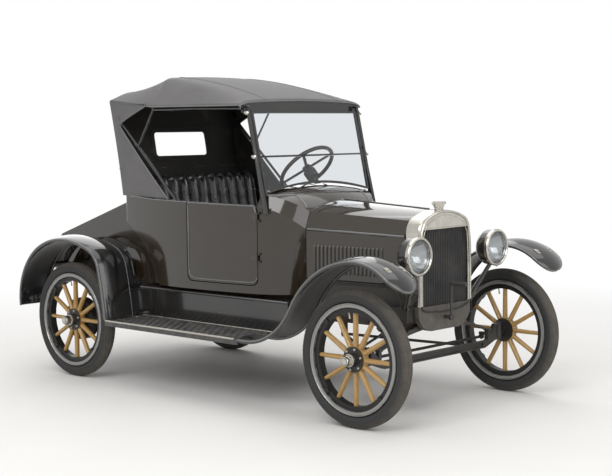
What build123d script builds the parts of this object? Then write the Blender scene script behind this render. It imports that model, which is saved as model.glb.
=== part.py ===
from build123d import *
import math
import os

# A two-seat open car of the 1920s with its folding top up and a luggage deck behind.
# X is forward, Y is to the left, Z is up. The origin is on the ground, midway along the car.
# All sizes are in millimetres.

os.makedirs("parts", exist_ok=True)

# Overall sizes
WHEELBASE = 2540.0
TRACK = 1422.0
TYRE_OD = 775.0
TYRE_WIDTH = 89.0
REAR_AXLE_X = -1194.0
FRONT_AXLE_X = REAR_AXLE_X + WHEELBASE
AXLE_Z = TYRE_OD / 2
SIDES = (("right", -1), ("left", 1))

# Heights of the chassis and the body, counted up from the axle
FRAME_TOP_Z = AXLE_Z + 232.5
FRAME_DEPTH = 75.0
FRAME_BOTTOM_Z = FRAME_TOP_Z - FRAME_DEPTH
BODY_BOTTOM_Z = FRAME_TOP_Z + 35.0
BOARD_TOP_Z = FRAME_TOP_Z - 190.0

# Stations along the car
DECK_REAR_X = REAR_AXLE_X - 555.0
TUB_REAR_X = REAR_AXLE_X + 310.0
DOOR_REAR_X = REAR_AXLE_X + 975.0
DOOR_FRONT_X = REAR_AXLE_X + 1563.0
FIREWALL_X = REAR_AXLE_X + 1800.0
RADIATOR_BACK_X = FRONT_AXLE_X - 20.0
RADIATOR_FRONT_X = FRONT_AXLE_X + 78.0

# Clearances
MOVE_GAP = 5.0
PIN_GAP = 0.5
SEAT_GAP = 0.3


def save(part, name):
    """Label a finished piece and write it to its own file."""
    part.label = name
    export_step(part, f"parts/{name}.step")


def rod(start, end, radius, bore=0.0, mode=Mode.ADD):
    """Add a round bar from start to end, or a tube where a bore is given."""
    line = Vector(*end) - Vector(*start)
    with BuildSketch(Plane(origin=start, z_dir=line)) as section:
        Circle(radius)
        if bore:
            Circle(bore, mode=Mode.SUBTRACT)
    extrude(section.sketch, amount=line.length, mode=mode)


def block(low, high, mode=Mode.ADD):
    """Add a square block between two corners."""
    with BuildSketch(Plane.XY.offset(low[2])) as section:
        with Locations(((low[0] + high[0]) / 2, (low[1] + high[1]) / 2)):
            Rectangle(high[0] - low[0], high[1] - low[1])
    extrude(section.sketch, amount=high[2] - low[2], mode=mode)


def side_plate(points, y_low, y_high, mode=Mode.ADD):
    """Add a plate whose outline is given in X and Z, between two Y places."""
    with BuildSketch(Plane.XZ.offset(-y_low)) as section:
        with BuildLine():
            Polyline(*points, close=True)
        make_face()
    extrude(section.sketch, amount=-(y_high - y_low), mode=mode)


def cross_plate(points, x_low, x_high, mode=Mode.ADD):
    """Add a plate whose outline is given in Y and Z, between two X places."""
    with BuildSketch(Plane.YZ.offset(x_low)) as section:
        with BuildLine():
            Polyline(*points, close=True)
        make_face()
    extrude(section.sketch, amount=x_high - x_low, mode=mode)


def along(start, end, share):
    """The point that lies a share of the way from start to end."""
    return tuple(a + (b - a) * share for a, b in zip(start, end))


# Wheels: wooden spokes between a hub and a felloe, with a clincher rim and a balloon tyre
RIM_R = 300.0
RIM_LIP_R = 313.0
RIM_HALF = 36.0
BEAD_HALF = 28.0
RIM_IN_R = 292.0
FELLOE_IN_R = 262.0
FELLOE_HALF = 24.0
SPOKES = 12
SPOKE_HALF = 19.0
SPOKE_TANGENT_ROOT = 15.0
SPOKE_TANGENT_TIP = 12.5
SPOKE_ROOT_R = 60.0
HUB_BARREL_R = 34.0
HUB_FLANGE_R = 73.0
HUB_FLANGE = 6.0
ROOT_HALF = 20.0
HUB_INNER = 45.0
HUB_CAP_REACH = 104.0
SPINDLE_R = 14.5
HUB_BORE_R = SPINDLE_R + PIN_GAP
SPINDLE_REACH = 62.0
DRUM_R = 142.0
DRUM_DEPTH = 40.0
TYRE_R = TYRE_OD / 2

with BuildPart() as tyre_form:
    with BuildSketch(Plane.XZ):
        with BuildLine():
            Polyline((RIM_R, 0), (RIM_R, BEAD_HALF), (RIM_LIP_R, BEAD_HALF), (RIM_LIP_R, RIM_HALF - 2))
            ThreePointArc(
                (RIM_LIP_R, RIM_HALF - 2), (RIM_LIP_R + 33, TYRE_WIDTH / 2), (TYRE_R - 13, RIM_HALF)
            )
            ThreePointArc((TYRE_R - 13, RIM_HALF), (TYRE_R - 6, RIM_HALF - 6), (TYRE_R - 3, RIM_HALF - 15))
            Line((TYRE_R - 3, RIM_HALF - 15), (TYRE_R, 0))
            mirror(about=Plane.XZ)
        make_face()
    revolve(axis=Axis.Z)

with BuildPart() as spoke_form:
    with BuildSketch(Plane.YZ.offset(SPOKE_ROOT_R)):
        Ellipse(SPOKE_TANGENT_ROOT, SPOKE_HALF)
    with BuildSketch(Plane.YZ.offset(FELLOE_IN_R + 6)):
        Ellipse(SPOKE_TANGENT_TIP, SPOKE_HALF - 3)
    loft()

with BuildPart() as spokes_form:
    with BuildSketch(Plane.XY.offset(-ROOT_HALF)):
        Circle(HUB_FLANGE_R + 2)
        Circle(HUB_BARREL_R, mode=Mode.SUBTRACT)
    extrude(amount=2 * ROOT_HALF)
    with PolarLocations(0, SPOKES):
        add(spoke_form.part)
    with BuildSketch(Plane.XY.offset(-2 * ROOT_HALF)):
        Circle(RIM_R)
        Circle(FELLOE_IN_R, mode=Mode.SUBTRACT)
    extrude(amount=4 * ROOT_HALF, mode=Mode.SUBTRACT)

RIM_LUGS = 4
LUG_TURN = 45.0

with BuildPart() as rim_form:
    with BuildSketch(Plane.XZ):
        with BuildLine():
            Polyline(
                (FELLOE_IN_R, 0),
                (FELLOE_IN_R, FELLOE_HALF),
                (RIM_IN_R, FELLOE_HALF),
                (RIM_IN_R, RIM_HALF),
                (RIM_LIP_R, RIM_HALF),
                (RIM_LIP_R, BEAD_HALF),
                (RIM_R, BEAD_HALF),
                (RIM_R, 0),
            )
            mirror(about=Plane.XZ)
        make_face()
    revolve(axis=Axis.Z)
    with BuildSketch(Plane.XY.offset(FELLOE_HALF)):
        with PolarLocations((FELLOE_IN_R + RIM_IN_R) / 2, RIM_LUGS, start_angle=LUG_TURN):
            Rectangle(RIM_IN_R - FELLOE_IN_R, 26)
    extrude(amount=9)


def make_hub(with_drum):
    """The hub with its flanges and cap, and a brake drum on a rear wheel."""
    with BuildPart() as hub:
        with BuildSketch(Plane.XZ):
            with BuildLine():
                Polyline(
                    (HUB_BORE_R, -HUB_INNER),
                    (HUB_BARREL_R, -HUB_INNER),
                    (HUB_BARREL_R, -ROOT_HALF - HUB_FLANGE),
                    (HUB_FLANGE_R, -ROOT_HALF - HUB_FLANGE),
                    (HUB_FLANGE_R, -ROOT_HALF),
                    (HUB_BARREL_R, -ROOT_HALF),
                    (HUB_BARREL_R, ROOT_HALF),
                    (HUB_FLANGE_R, ROOT_HALF),
                    (HUB_FLANGE_R, ROOT_HALF + HUB_FLANGE),
                    (HUB_BARREL_R + 4, ROOT_HALF + HUB_FLANGE),
                    (HUB_BARREL_R - 2, HUB_INNER + 5),
                    (HUB_BARREL_R - 4, HUB_CAP_REACH - 14),
                )
                ThreePointArc(
                    (HUB_BARREL_R - 4, HUB_CAP_REACH - 14),
                    (HUB_BARREL_R - 8, HUB_CAP_REACH - 4),
                    (HUB_BARREL_R - 18, HUB_CAP_REACH),
                )
                Polyline(
                    (HUB_BARREL_R - 18, HUB_CAP_REACH),
                    (0, HUB_CAP_REACH),
                    (0, SPINDLE_REACH + MOVE_GAP),
                    (HUB_BORE_R, SPINDLE_REACH + MOVE_GAP),
                    (HUB_BORE_R, -HUB_INNER),
                )
            make_face()
        revolve(axis=Axis.Z)
        if with_drum:
            drum_face = -ROOT_HALF - HUB_FLANGE
            with BuildSketch(Plane.XZ):
                with BuildLine():
                    Polyline(
                        (HUB_BARREL_R - 2, drum_face),
                        (DRUM_R, drum_face),
                        (DRUM_R, drum_face - DRUM_DEPTH),
                        (DRUM_R - 7, drum_face - DRUM_DEPTH),
                        (DRUM_R - 7, drum_face - 7),
                        (HUB_BARREL_R - 2, drum_face - 7),
                        close=True,
                    )
                make_face()
            revolve(axis=Axis.Z)
    return hub.part


plain_hub = make_hub(False)
drum_hub = make_hub(True)

# Each wheel: name, station along the car, side, hub
WHEELS = (
    ("front_right", FRONT_AXLE_X, -1, plain_hub),
    ("front_left", FRONT_AXLE_X, 1, plain_hub),
    ("rear_right", REAR_AXLE_X, -1, drum_hub),
    ("rear_left", REAR_AXLE_X, 1, drum_hub),
)
for name, x, side, hub in WHEELS:
    place = Plane(origin=(x, side * TRACK / 2, AXLE_Z), x_dir=(1, 0, 0), z_dir=(0, side, 0)).location
    save(place * tyre_form.part, f"tyre_{name}")
    save(place * spokes_form.part, f"spokes_{name}")
    save(place * (rim_form.part + hub), f"rim_hub_{name}")

# Chassis frame: two channel rails, cross members, engine pans, brackets and fender irons
RAIL_Y = 310.0
RAIL_FLANGE = 40.0
RAIL_WALL = 5.0
RAIL_REAR_X = REAR_AXLE_X + 60.0
RAIL_FRONT_X = FRONT_AXLE_X + 38.0
CROSS_HALF = 30.0
MID_CROSS_X = REAR_AXLE_X + 1105.0
PAN_IN_Y = 225.0
PAN_THICK = 3.0
COLUMN_Y = 245.0
BOARD_OUT_Y = TRACK / 2 + TYRE_WIDTH + 30.0
BOARD_IN_Y = 492.0
BOARD_REAR_X = REAR_AXLE_X + 462.0
BOARD_FRONT_X = FRONT_AXLE_X - 830.0
BOARD_THICK = 12.0
FOOT_LONG = 34.0
FOOT_THICK = 5.0
FOOT_REBATE = 3.0
BOARD_BOTTOM_Z = BOARD_TOP_Z - BOARD_THICK
BRACKET_STATIONS = (BOARD_REAR_X + 230.0, BOARD_FRONT_X - 260.0)
HOOD_SIDE_BOTTOM_Z = FRAME_TOP_Z + 137.0
HOOD_REAR_HALF = 330.0
HOOD_FRONT_HALF = 247.0

with BuildPart() as frame:
    for side in (-1, 1):
        with BuildSketch(Plane.YZ.offset(RAIL_REAR_X)):
            with BuildLine():
                Polyline(
                    (side * RAIL_Y, FRAME_BOTTOM_Z),
                    (side * RAIL_Y, FRAME_TOP_Z),
                    (side * (RAIL_Y - RAIL_FLANGE), FRAME_TOP_Z),
                    (side * (RAIL_Y - RAIL_FLANGE), FRAME_TOP_Z - RAIL_WALL),
                    (side * (RAIL_Y - RAIL_WALL), FRAME_TOP_Z - RAIL_WALL),
                    (side * (RAIL_Y - RAIL_WALL), FRAME_BOTTOM_Z + RAIL_WALL),
                    (side * (RAIL_Y - RAIL_FLANGE), FRAME_BOTTOM_Z + RAIL_WALL),
                    (side * (RAIL_Y - RAIL_FLANGE), FRAME_BOTTOM_Z),
                    close=True,
                )
            make_face()
        extrude(amount=RAIL_FRONT_X - RAIL_REAR_X)
        # Engine pan beside the engine, and the shelf that the hood's lower edge rests over
        low_y, high_y = sorted((side * PAN_IN_Y, side * (RAIL_Y - 2)))
        block((FIREWALL_X, low_y, FRAME_TOP_Z), (RADIATOR_BACK_X - 4, high_y, FRAME_TOP_Z + PAN_THICK))
        with BuildSketch(Plane.XY.offset(FRAME_TOP_Z)):
            with BuildLine():
                Polyline(
                    (FIREWALL_X, side * (HOOD_REAR_HALF - 22)),
                    (RADIATOR_BACK_X, side * (HOOD_FRONT_HALF - 16)),
                    (RADIATOR_BACK_X, side * (HOOD_FRONT_HALF - 20)),
                    (FIREWALL_X, side * (HOOD_REAR_HALF - 26)),
                    close=True,
                )
            make_face()
        extrude(amount=HOOD_SIDE_BOTTOM_Z - FRAME_TOP_Z - 2)
        with BuildSketch(Plane.XY.offset(HOOD_SIDE_BOTTOM_Z - 12)):
            with BuildLine():
                Polyline(
                    (FIREWALL_X, side * (HOOD_REAR_HALF + 4)),
                    (RADIATOR_BACK_X, side * (HOOD_FRONT_HALF + 2)),
                    (RADIATOR_BACK_X, side * (HOOD_FRONT_HALF - 20)),
                    (FIREWALL_X, side * (HOOD_REAR_HALF - 26)),
                    close=True,
                )
            make_face()
        extrude(amount=4)
        # Running board brackets
        for x in BRACKET_STATIONS:
            cross_plate(
                (
                    (side * RAIL_Y, FRAME_BOTTOM_Z + 5),
                    (side * RAIL_Y, FRAME_BOTTOM_Z + 40),
                    (side * (BOARD_IN_Y - 20), BOARD_BOTTOM_Z),
                    (side * (BOARD_OUT_Y - 20), BOARD_BOTTOM_Z),
                    (side * (BOARD_OUT_Y - 20), BOARD_BOTTOM_Z - 8),
                    (side * (BOARD_IN_Y - 40), BOARD_BOTTOM_Z - 22),
                ),
                x - 18,
                x + 18,
            )
    # Cross members: rear, middle and front
    block(
        (RAIL_REAR_X - 5, -RAIL_Y, FRAME_TOP_Z - 50),
        (RAIL_REAR_X + 30, RAIL_Y, FRAME_TOP_Z),
    )
    block((REAR_AXLE_X - 35, -80, FRAME_TOP_Z - 25), (RAIL_REAR_X, 80, FRAME_TOP_Z))
    block(
        (MID_CROSS_X - 20, -RAIL_Y + RAIL_WALL, FRAME_TOP_Z - 45),
        (MID_CROSS_X + 20, RAIL_Y - RAIL_WALL, FRAME_TOP_Z),
    )
    block(
        (FRONT_AXLE_X - CROSS_HALF, -RAIL_Y + RAIL_WALL, FRAME_BOTTOM_Z),
        (FRONT_AXLE_X + CROSS_HALF, RAIL_Y - RAIL_WALL, FRAME_TOP_Z),
    )
    # Notch in the left engine pan for the steering column
    block(
        (FIREWALL_X + 200, PAN_IN_Y - 5, FRAME_TOP_Z - 1),
        (FIREWALL_X + 300, RAIL_Y - RAIL_FLANGE - 2, FRAME_TOP_Z + PAN_THICK + 1),
        mode=Mode.SUBTRACT,
    )
save(frame.part, "frame")

# Engine with its gearbox: one plain block, with arms that rest on the engine pans
ENGINE_HALF = 140.0
ENGINE_REAR_X = FIREWALL_X + 85.0
ENGINE_FRONT_X = RADIATOR_BACK_X - 60.0
GEARBOX_REAR_X = FIREWALL_X - 285.0

with BuildPart() as engine:
    block(
        (ENGINE_REAR_X, -ENGINE_HALF, FRAME_TOP_Z - 145),
        (ENGINE_FRONT_X, ENGINE_HALF, FRAME_TOP_Z + 340),
    )
    block(
        (GEARBOX_REAR_X, -ENGINE_HALF + 10, FRAME_TOP_Z - 150),
        (ENGINE_REAR_X, ENGINE_HALF - 10, FRAME_TOP_Z + 18),
    )
    block(
        (ENGINE_REAR_X + 10, -RAIL_Y + 50, FRAME_TOP_Z + PAN_THICK),
        (ENGINE_REAR_X + 50, RAIL_Y - 50, FRAME_TOP_Z + PAN_THICK + 14),
    )
save(engine.part, "engine")

# Front axle: a forged beam between two forks, with king pins, and radius rods behind
KINGPIN_Y = TRACK / 2 - 75.0
KINGPIN_R = 10.0
BARREL_R = 22.0
BARREL_HALF = 34.5
FORK_HALF = 35.0
FORK_LUG = 15.0
FORK_WEB_Y = KINGPIN_Y - 51.0
BEAM_HALF = 14.0
BEAM_LOW = -87.0
BEAM_HIGH = -42.0
SPRING_END_Y = 520.0
SPRING_END_Z = AXLE_Z + 18.0
ARM_REACH = 130.0
ARM_LOW = -33.5
ARM_THICK = 16.0
LINK_PIN_R = 8.0

with BuildPart() as front_axle:
    with BuildSketch(Plane.YZ.offset(FRONT_AXLE_X - BEAM_HALF)):
        with BuildLine():
            Polyline(
                (0, AXLE_Z + BEAM_LOW),
                (480, AXLE_Z + BEAM_LOW),
                (FORK_WEB_Y, AXLE_Z - FORK_HALF - FORK_LUG),
                (FORK_WEB_Y + 15, AXLE_Z - FORK_HALF - FORK_LUG),
                (FORK_WEB_Y + 15, AXLE_Z + FORK_HALF + FORK_LUG),
                (FORK_WEB_Y, AXLE_Z + FORK_HALF + FORK_LUG),
                (FORK_WEB_Y - 20, AXLE_Z + 10),
                (500, AXLE_Z + BEAM_HIGH),
                (0, AXLE_Z + BEAM_HIGH),
            )
            mirror(about=Plane.YZ)
        make_face()
    extrude(amount=2 * BEAM_HALF)
    # Pockets that leave the beam an I section
    for x, depth in ((FRONT_AXLE_X + BEAM_HALF - 9, 9), (FRONT_AXLE_X - BEAM_HALF, 9)):
        block(
            (x, -460, AXLE_Z + BEAM_LOW + 9),
            (x + depth, 460, AXLE_Z + BEAM_HIGH - 9),
            mode=Mode.SUBTRACT,
        )
    for side in (-1, 1):
        for low in (FORK_HALF, -FORK_HALF - FORK_LUG):
            with BuildSketch(Plane.XY.offset(AXLE_Z + low)):
                with Locations((FRONT_AXLE_X, side * KINGPIN_Y)):
                    Circle(BARREL_R - 2)
                with Locations((FRONT_AXLE_X, side * (KINGPIN_Y + FORK_WEB_Y + 5) / 2)):
                    Rectangle(2 * BEAM_HALF, KINGPIN_Y - FORK_WEB_Y - 5)
            extrude(amount=FORK_LUG)
        king = (FRONT_AXLE_X, side * KINGPIN_Y)
        rod(
            (*king, AXLE_Z - FORK_HALF - FORK_LUG),
            (*king, AXLE_Z + FORK_HALF + FORK_LUG + 8),
            KINGPIN_R,
        )
        # Spring perch on the beam
        low_y, high_y = sorted((side * (SPRING_END_Y - 12), side * (SPRING_END_Y + 12)))
        block(
            (FRONT_AXLE_X - BEAM_HALF, low_y, AXLE_Z - 40),
            (FRONT_AXLE_X + BEAM_HALF, high_y, SPRING_END_Z),
        )
        # Radius rod back to the ball under the gearbox
        rod(
            (FRONT_AXLE_X, side * 470, AXLE_Z + BEAM_LOW + 6),
            (GEARBOX_REAR_X + 300, 0, AXLE_Z - 12),
            9.0,
        )
    with Locations((GEARBOX_REAR_X + 300, 0, AXLE_Z - 12)):
        Sphere(22)
    block(
        (GEARBOX_REAR_X + 285, -15, AXLE_Z - 12),
        (GEARBOX_REAR_X + 315, 15, FRAME_TOP_Z - 150),
    )
save(front_axle.part, "front_axle")

# Leaf springs across the car: rear and front, each a stack of leaves and a centre clamp
SPRING_WIDTH = 45.0
LEAF = 7.0
# Each spring: station, top of its clamp, half span, height of its ends, leaves
SPRINGS = (
    ("front", FRONT_AXLE_X, FRAME_BOTTOM_Z, SPRING_END_Y, SPRING_END_Z, 6),
    ("rear", REAR_AXLE_X, FRAME_TOP_Z - 25.0, 540.0, AXLE_Z + 68.0, 7),
)
with BuildPart() as springs:
    for name, x, top, half, end_z, leaves in SPRINGS:
        # Main leaf from pad to pad, then shorter leaves stacked on it
        crown = top - 10 - leaves * LEAF
        for leaf in range(leaves):
            reach = half * (1 - leaf / (leaves + 0.6))
            low = crown + leaf * LEAF
            tip = low - (crown - end_z) * (reach / half) ** 2
            mid = low - (crown - end_z) * (reach / half / 2) ** 2
            with BuildSketch(Plane.YZ.offset(x - SPRING_WIDTH / 2)):
                with BuildLine():
                    lower = ThreePointArc((-reach, tip), (0, low), (reach, tip))
                    Line((reach, tip), (reach, tip + LEAF))
                    ThreePointArc((reach, tip + LEAF), (0, low + LEAF), (-reach, tip + LEAF))
                    Line((-reach, tip + LEAF), (-reach, tip))
                make_face()
            extrude(amount=SPRING_WIDTH)
        block((x - 30, -45, crown - 8), (x + 30, 45, top))
        for side in (-1, 1):
            low_y, high_y = sorted((side * (half - 14), side * (half + 14)))
            block((x - SPRING_WIDTH / 2, low_y, end_z), (x + SPRING_WIDTH / 2, high_y, end_z + LEAF + 4))
save(springs.part, "springs")

# Rear axle: housing, tubes, backing plates, stub shafts, torque tube and radius rods
DIFF_R = 118.0
TUBE_R = 30.0
PLATE_Y = TRACK / 2 - ROOT_HALF - HUB_FLANGE - DRUM_DEPTH - 14.0
TORQUE_END = (GEARBOX_REAR_X, 0, FRAME_TOP_Z - 95.0)
REAR_SPRING_END_Z = SPRINGS[1][4]
REAR_SPRING_HALF = SPRINGS[1][3]

with BuildPart() as rear_axle:
    with BuildSketch(Plane.XY.offset(AXLE_Z)):
        with BuildLine():
            Polyline(
                (REAR_AXLE_X, 0),
                (REAR_AXLE_X + DIFF_R, 0),
                (REAR_AXLE_X + DIFF_R, 35),
                (REAR_AXLE_X + DIFF_R - 30, 75),
                (REAR_AXLE_X + TUBE_R + 18, 150),
                (REAR_AXLE_X + TUBE_R, 190),
                (REAR_AXLE_X + TUBE_R, PLATE_Y - 6),
                (REAR_AXLE_X + DRUM_R, PLATE_Y - 6),
                (REAR_AXLE_X + DRUM_R, PLATE_Y + 2),
                (REAR_AXLE_X + SPINDLE_R, PLATE_Y + 2),
                (REAR_AXLE_X + SPINDLE_R, TRACK / 2 + SPINDLE_REACH),
                (REAR_AXLE_X, TRACK / 2 + SPINDLE_REACH),
                close=True,
            )
        make_face()
    revolve(axis=Axis((REAR_AXLE_X, 0, AXLE_Z), (0, 1, 0)))
    mirror(about=Plane.XZ)
    rod((REAR_AXLE_X + DIFF_R - 30, 0, AXLE_Z), along((REAR_AXLE_X, 0, AXLE_Z), TORQUE_END, 1.05), TUBE_R - 2)
    block(
        (GEARBOX_REAR_X, -80, AXLE_Z - 80),
        (GEARBOX_REAR_X + 200, 80, FRAME_TOP_Z + 50),
        mode=Mode.SUBTRACT,
    )
    for side in (-1, 1):
        rod(
            (REAR_AXLE_X + 20, side * (PLATE_Y - 30), AXLE_Z),
            along((REAR_AXLE_X + 20, side * (PLATE_Y - 30), AXLE_Z), (TORQUE_END[0] - 60, 0, TORQUE_END[2] - 6), 1),
            10.0,
        )
        low_y, high_y = sorted((side * (REAR_SPRING_HALF - 12), side * (REAR_SPRING_HALF + 12)))
        block(
            (REAR_AXLE_X - 16, low_y, AXLE_Z + 5),
            (REAR_AXLE_X + 16, high_y, REAR_SPRING_END_Z),
        )
save(rear_axle.part, "rear_axle")

# Knuckles: barrel round the king pin, spindle for the wheel, arm to the steering links
ARM_X = FRONT_AXLE_X - ARM_REACH
TIE_Z = AXLE_Z - 48.0
DRAG_Z = AXLE_Z - 7.0
for name, side in SIDES:
    with BuildPart() as knuckle:
        king_y = side * KINGPIN_Y
        low_y, high_y = sorted((king_y, side * (TRACK / 2 + SPINDLE_REACH)))
        rod((FRONT_AXLE_X, king_y, AXLE_Z - BARREL_HALF), (FRONT_AXLE_X, king_y, AXLE_Z + BARREL_HALF), BARREL_R)
        rod((FRONT_AXLE_X, low_y, AXLE_Z), (FRONT_AXLE_X, high_y, AXLE_Z), SPINDLE_R)
        block(
            (ARM_X, king_y - 12, AXLE_Z + ARM_LOW),
            (FRONT_AXLE_X, king_y + 12, AXLE_Z + ARM_LOW + ARM_THICK),
        )
        rod((ARM_X, king_y, AXLE_Z + ARM_LOW), (ARM_X, king_y, AXLE_Z + ARM_LOW + ARM_THICK), 17.0)
        pin_top = DRAG_Z + 16 if side < 0 else AXLE_Z + ARM_LOW + ARM_THICK
        rod((ARM_X, king_y, TIE_Z - 16), (ARM_X, king_y, pin_top), LINK_PIN_R)
        rod(
            (FRONT_AXLE_X, king_y, AXLE_Z - BARREL_HALF - 1),
            (FRONT_AXLE_X, king_y, AXLE_Z + BARREL_HALF + 1),
            KINGPIN_R + PIN_GAP,
            mode=Mode.SUBTRACT,
        )
    save(knuckle.part, f"knuckle_{name}")

# Steering geometry: the column slopes down and forward from the wheel to the drop arm
WHEEL_CENTRE = (REAR_AXLE_X + 1270.0, COLUMN_Y, FRAME_TOP_Z + 780.0)
COLUMN_RAKE = 45.0
COLUMN_UP = (-math.cos(math.radians(COLUMN_RAKE)), 0.0, math.sin(math.radians(COLUMN_RAKE)))
DROP_DOWN = (-math.sin(math.radians(COLUMN_RAKE)), 0.0, -math.cos(math.radians(COLUMN_RAKE)))


def column(distance):
    """A point on the column's axis, this far below the steering wheel's centre."""
    return tuple(c - u * distance for c, u in zip(WHEEL_CENTRE, COLUMN_UP))


COLUMN_TUBE_R = 17.0
SHAFT_R = 9.5
SHAFT_BORE_R = SHAFT_R + PIN_GAP
COLUMN_LENGTH = 1080.0
SHAFT_LENGTH = 1250.0
DROP_ARM = ARM_REACH
BALL_R = 13.0
DROP_FOOT = column(SHAFT_LENGTH - 12)
DROP_BALL = tuple(c + d * DROP_ARM for c, d in zip(DROP_FOOT, DROP_DOWN))

with BuildPart() as steering_shaft:
    rod(column(SHAFT_LENGTH - 10), column(64), SHAFT_R)
    rod(DROP_FOOT, along(DROP_FOOT, DROP_BALL, 1 - 6 / DROP_ARM), 8.0)
    rod(column(SHAFT_LENGTH), column(SHAFT_LENGTH - 26), 15.0)
    with Locations(Location(DROP_BALL, (0, 90 - COLUMN_RAKE, 0))):
        Sphere(BALL_R)
save(steering_shaft.part, "steering_shaft")

with BuildPart() as tie_rod:
    for side in (-1, 1):
        rod(
            (ARM_X, side * KINGPIN_Y, TIE_Z - 10),
            (ARM_X, side * KINGPIN_Y, TIE_Z + 10),
            17.0,
        )
    rod((ARM_X, -KINGPIN_Y + 12, TIE_Z), (ARM_X, KINGPIN_Y - 12, TIE_Z), 9.0)
    for side in (-1, 1):
        eye_r = LINK_PIN_R + (PIN_GAP if side < 0 else 2.0)
        rod(
            (ARM_X, side * KINGPIN_Y, TIE_Z - 11),
            (ARM_X, side * KINGPIN_Y, TIE_Z + 11),
            eye_r,
            mode=Mode.SUBTRACT,
        )
save(tie_rod.part, "tie_rod")

# The drag link runs across from the drop arm's ball to the right knuckle's arm
DRAG_EYE = (ARM_X, -KINGPIN_Y, DRAG_Z)
DRAG_LENGTH = math.dist(DRAG_EYE, DROP_BALL)
DRAG_START = along(DRAG_EYE, DROP_BALL, 10 / DRAG_LENGTH)
DRAG_END = along(DRAG_EYE, DROP_BALL, 1 - (BALL_R + 7) / DRAG_LENGTH)
with BuildPart() as drag_link:
    rod((*DRAG_EYE[:2], DRAG_Z - 9), (*DRAG_EYE[:2], DRAG_Z + 9), 17.0)
    rod(DRAG_START, DRAG_END, 8.0)
    rod(along(DRAG_EYE, DROP_BALL, 1 - 60 / DRAG_LENGTH), DRAG_END, 13.0)
    rod((*DRAG_EYE[:2], DRAG_Z - 10), (*DRAG_EYE[:2], DRAG_Z + 10), LINK_PIN_R + PIN_GAP, mode=Mode.SUBTRACT)
save(drag_link.part, "drag_link")

# Steering wheel: wooden rim, four arms and a hub, on its own short spindle
RIM_TUBE_R = 13.0
STEER_R = 195.0
with BuildPart() as steering_wheel:
    with BuildSketch(Plane(origin=WHEEL_CENTRE, x_dir=(0, 1, 0), z_dir=DROP_DOWN)):
        with Locations((STEER_R, 0)):
            Circle(RIM_TUBE_R)
    revolve(axis=Axis(WHEEL_CENTRE, COLUMN_UP))
    rod(column(18), column(-10), 30.0)
    rod(column(50), column(-10), SHAFT_R)
    with BuildSketch(Plane(origin=column(6), x_dir=(0, 1, 0), z_dir=COLUMN_UP)):
        for turn in (45, 135):
            with Locations(Rotation(0, 0, turn)):
                Rectangle(2 * STEER_R, 18)
    extrude(amount=9)
save(steering_wheel.part, "steering_wheel")

# Driver's controls: column tube with its gear case and bracket, pedals, hand lever
FLOOR_TOP_Z = BODY_BOTTOM_Z + 20.0
PEDAL_X = REAR_AXLE_X + 1500.0
with BuildPart() as driver_controls:
    rod(column(COLUMN_LENGTH), column(60), COLUMN_TUBE_R)
    rod(column(88), column(28), 42.0)
    bracket_x = column(COLUMN_LENGTH - 40)[0]
    block(
        (bracket_x - 25, COLUMN_Y + 4, FRAME_TOP_Z + PAN_THICK),
        (bracket_x + 5, COLUMN_Y + 30, FRAME_TOP_Z + PAN_THICK + 36),
    )
    rod(column(COLUMN_LENGTH + 2), column(20), SHAFT_BORE_R, mode=Mode.SUBTRACT)
    for y in (60.0, 130.0, 200.0):
        rod((PEDAL_X, y, FLOOR_TOP_Z + 2.6), (PEDAL_X - 40, y, FLOOR_TOP_Z + 110), 7.0)
        rod((PEDAL_X - 37, y, FLOOR_TOP_Z + 105), (PEDAL_X - 48, y, FLOOR_TOP_Z + 112), 30.0)
    rod((REAR_AXLE_X + 1260, 400, FLOOR_TOP_Z + 1.8), (REAR_AXLE_X + 1180, 400, FLOOR_TOP_Z + 400), 8.0)
save(driver_controls.part, "driver_controls")

# Exhaust: pipe from the gearbox's side, muffler and tail pipe, hung from the middle cross member
PIPE_Y = -(ENGINE_HALF + 10.0)
PIPE_Z = FRAME_TOP_Z - 92.0
MUFFLER_FRONT_X = MID_CROSS_X - 170.0
MUFFLER_R = 55.0
with BuildPart() as exhaust:
    rod((ENGINE_REAR_X - 60, -ENGINE_HALF + 10, PIPE_Z), (ENGINE_REAR_X - 60, PIPE_Y - 2, PIPE_Z), 20.0)
    rod((ENGINE_REAR_X - 45, PIPE_Y - 10, PIPE_Z), (MUFFLER_FRONT_X, PIPE_Y - 10, PIPE_Z), 20.0)
    rod(
        (MUFFLER_FRONT_X, PIPE_Y - 10, PIPE_Z),
        (MUFFLER_FRONT_X - 430, PIPE_Y - 10, PIPE_Z),
        MUFFLER_R,
    )
    rod(
        (MUFFLER_FRONT_X - 430, PIPE_Y - 10, PIPE_Z - 20),
        (MUFFLER_FRONT_X - 600, PIPE_Y - 10, PIPE_Z - 20),
        15.0,
    )
    block(
        (MID_CROSS_X - 8, PIPE_Y - 20, PIPE_Z),
        (MID_CROSS_X + 8, PIPE_Y, FRAME_TOP_Z - 45),
    )
save(exhaust.part, "exhaust")

# Body plan: one long arc down each side, rounded into the rear panel
BODY_WALL = 28.0
BODY_FRONT_HALF = 505.0
BODY_MAX_HALF = 560.0
BODY_REAR_HALF = 527.0
BODY_CORNER = 42.0
BODY_MID_X = DOOR_REAR_X
BELT_REAR_Z = BODY_BOTTOM_Z + 575.0
BELT_Z = BODY_BOTTOM_Z + 551.0
BELT_FRONT_Z = BODY_BOTTOM_Z + 540.0
DOOR_BOTTOM_Z = BODY_BOTTOM_Z + 50.0
HOUSE_R = 745.0
HOUSE_IN_Y = 488.0
SHEET = 12.0
LONG = 4000.0


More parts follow.
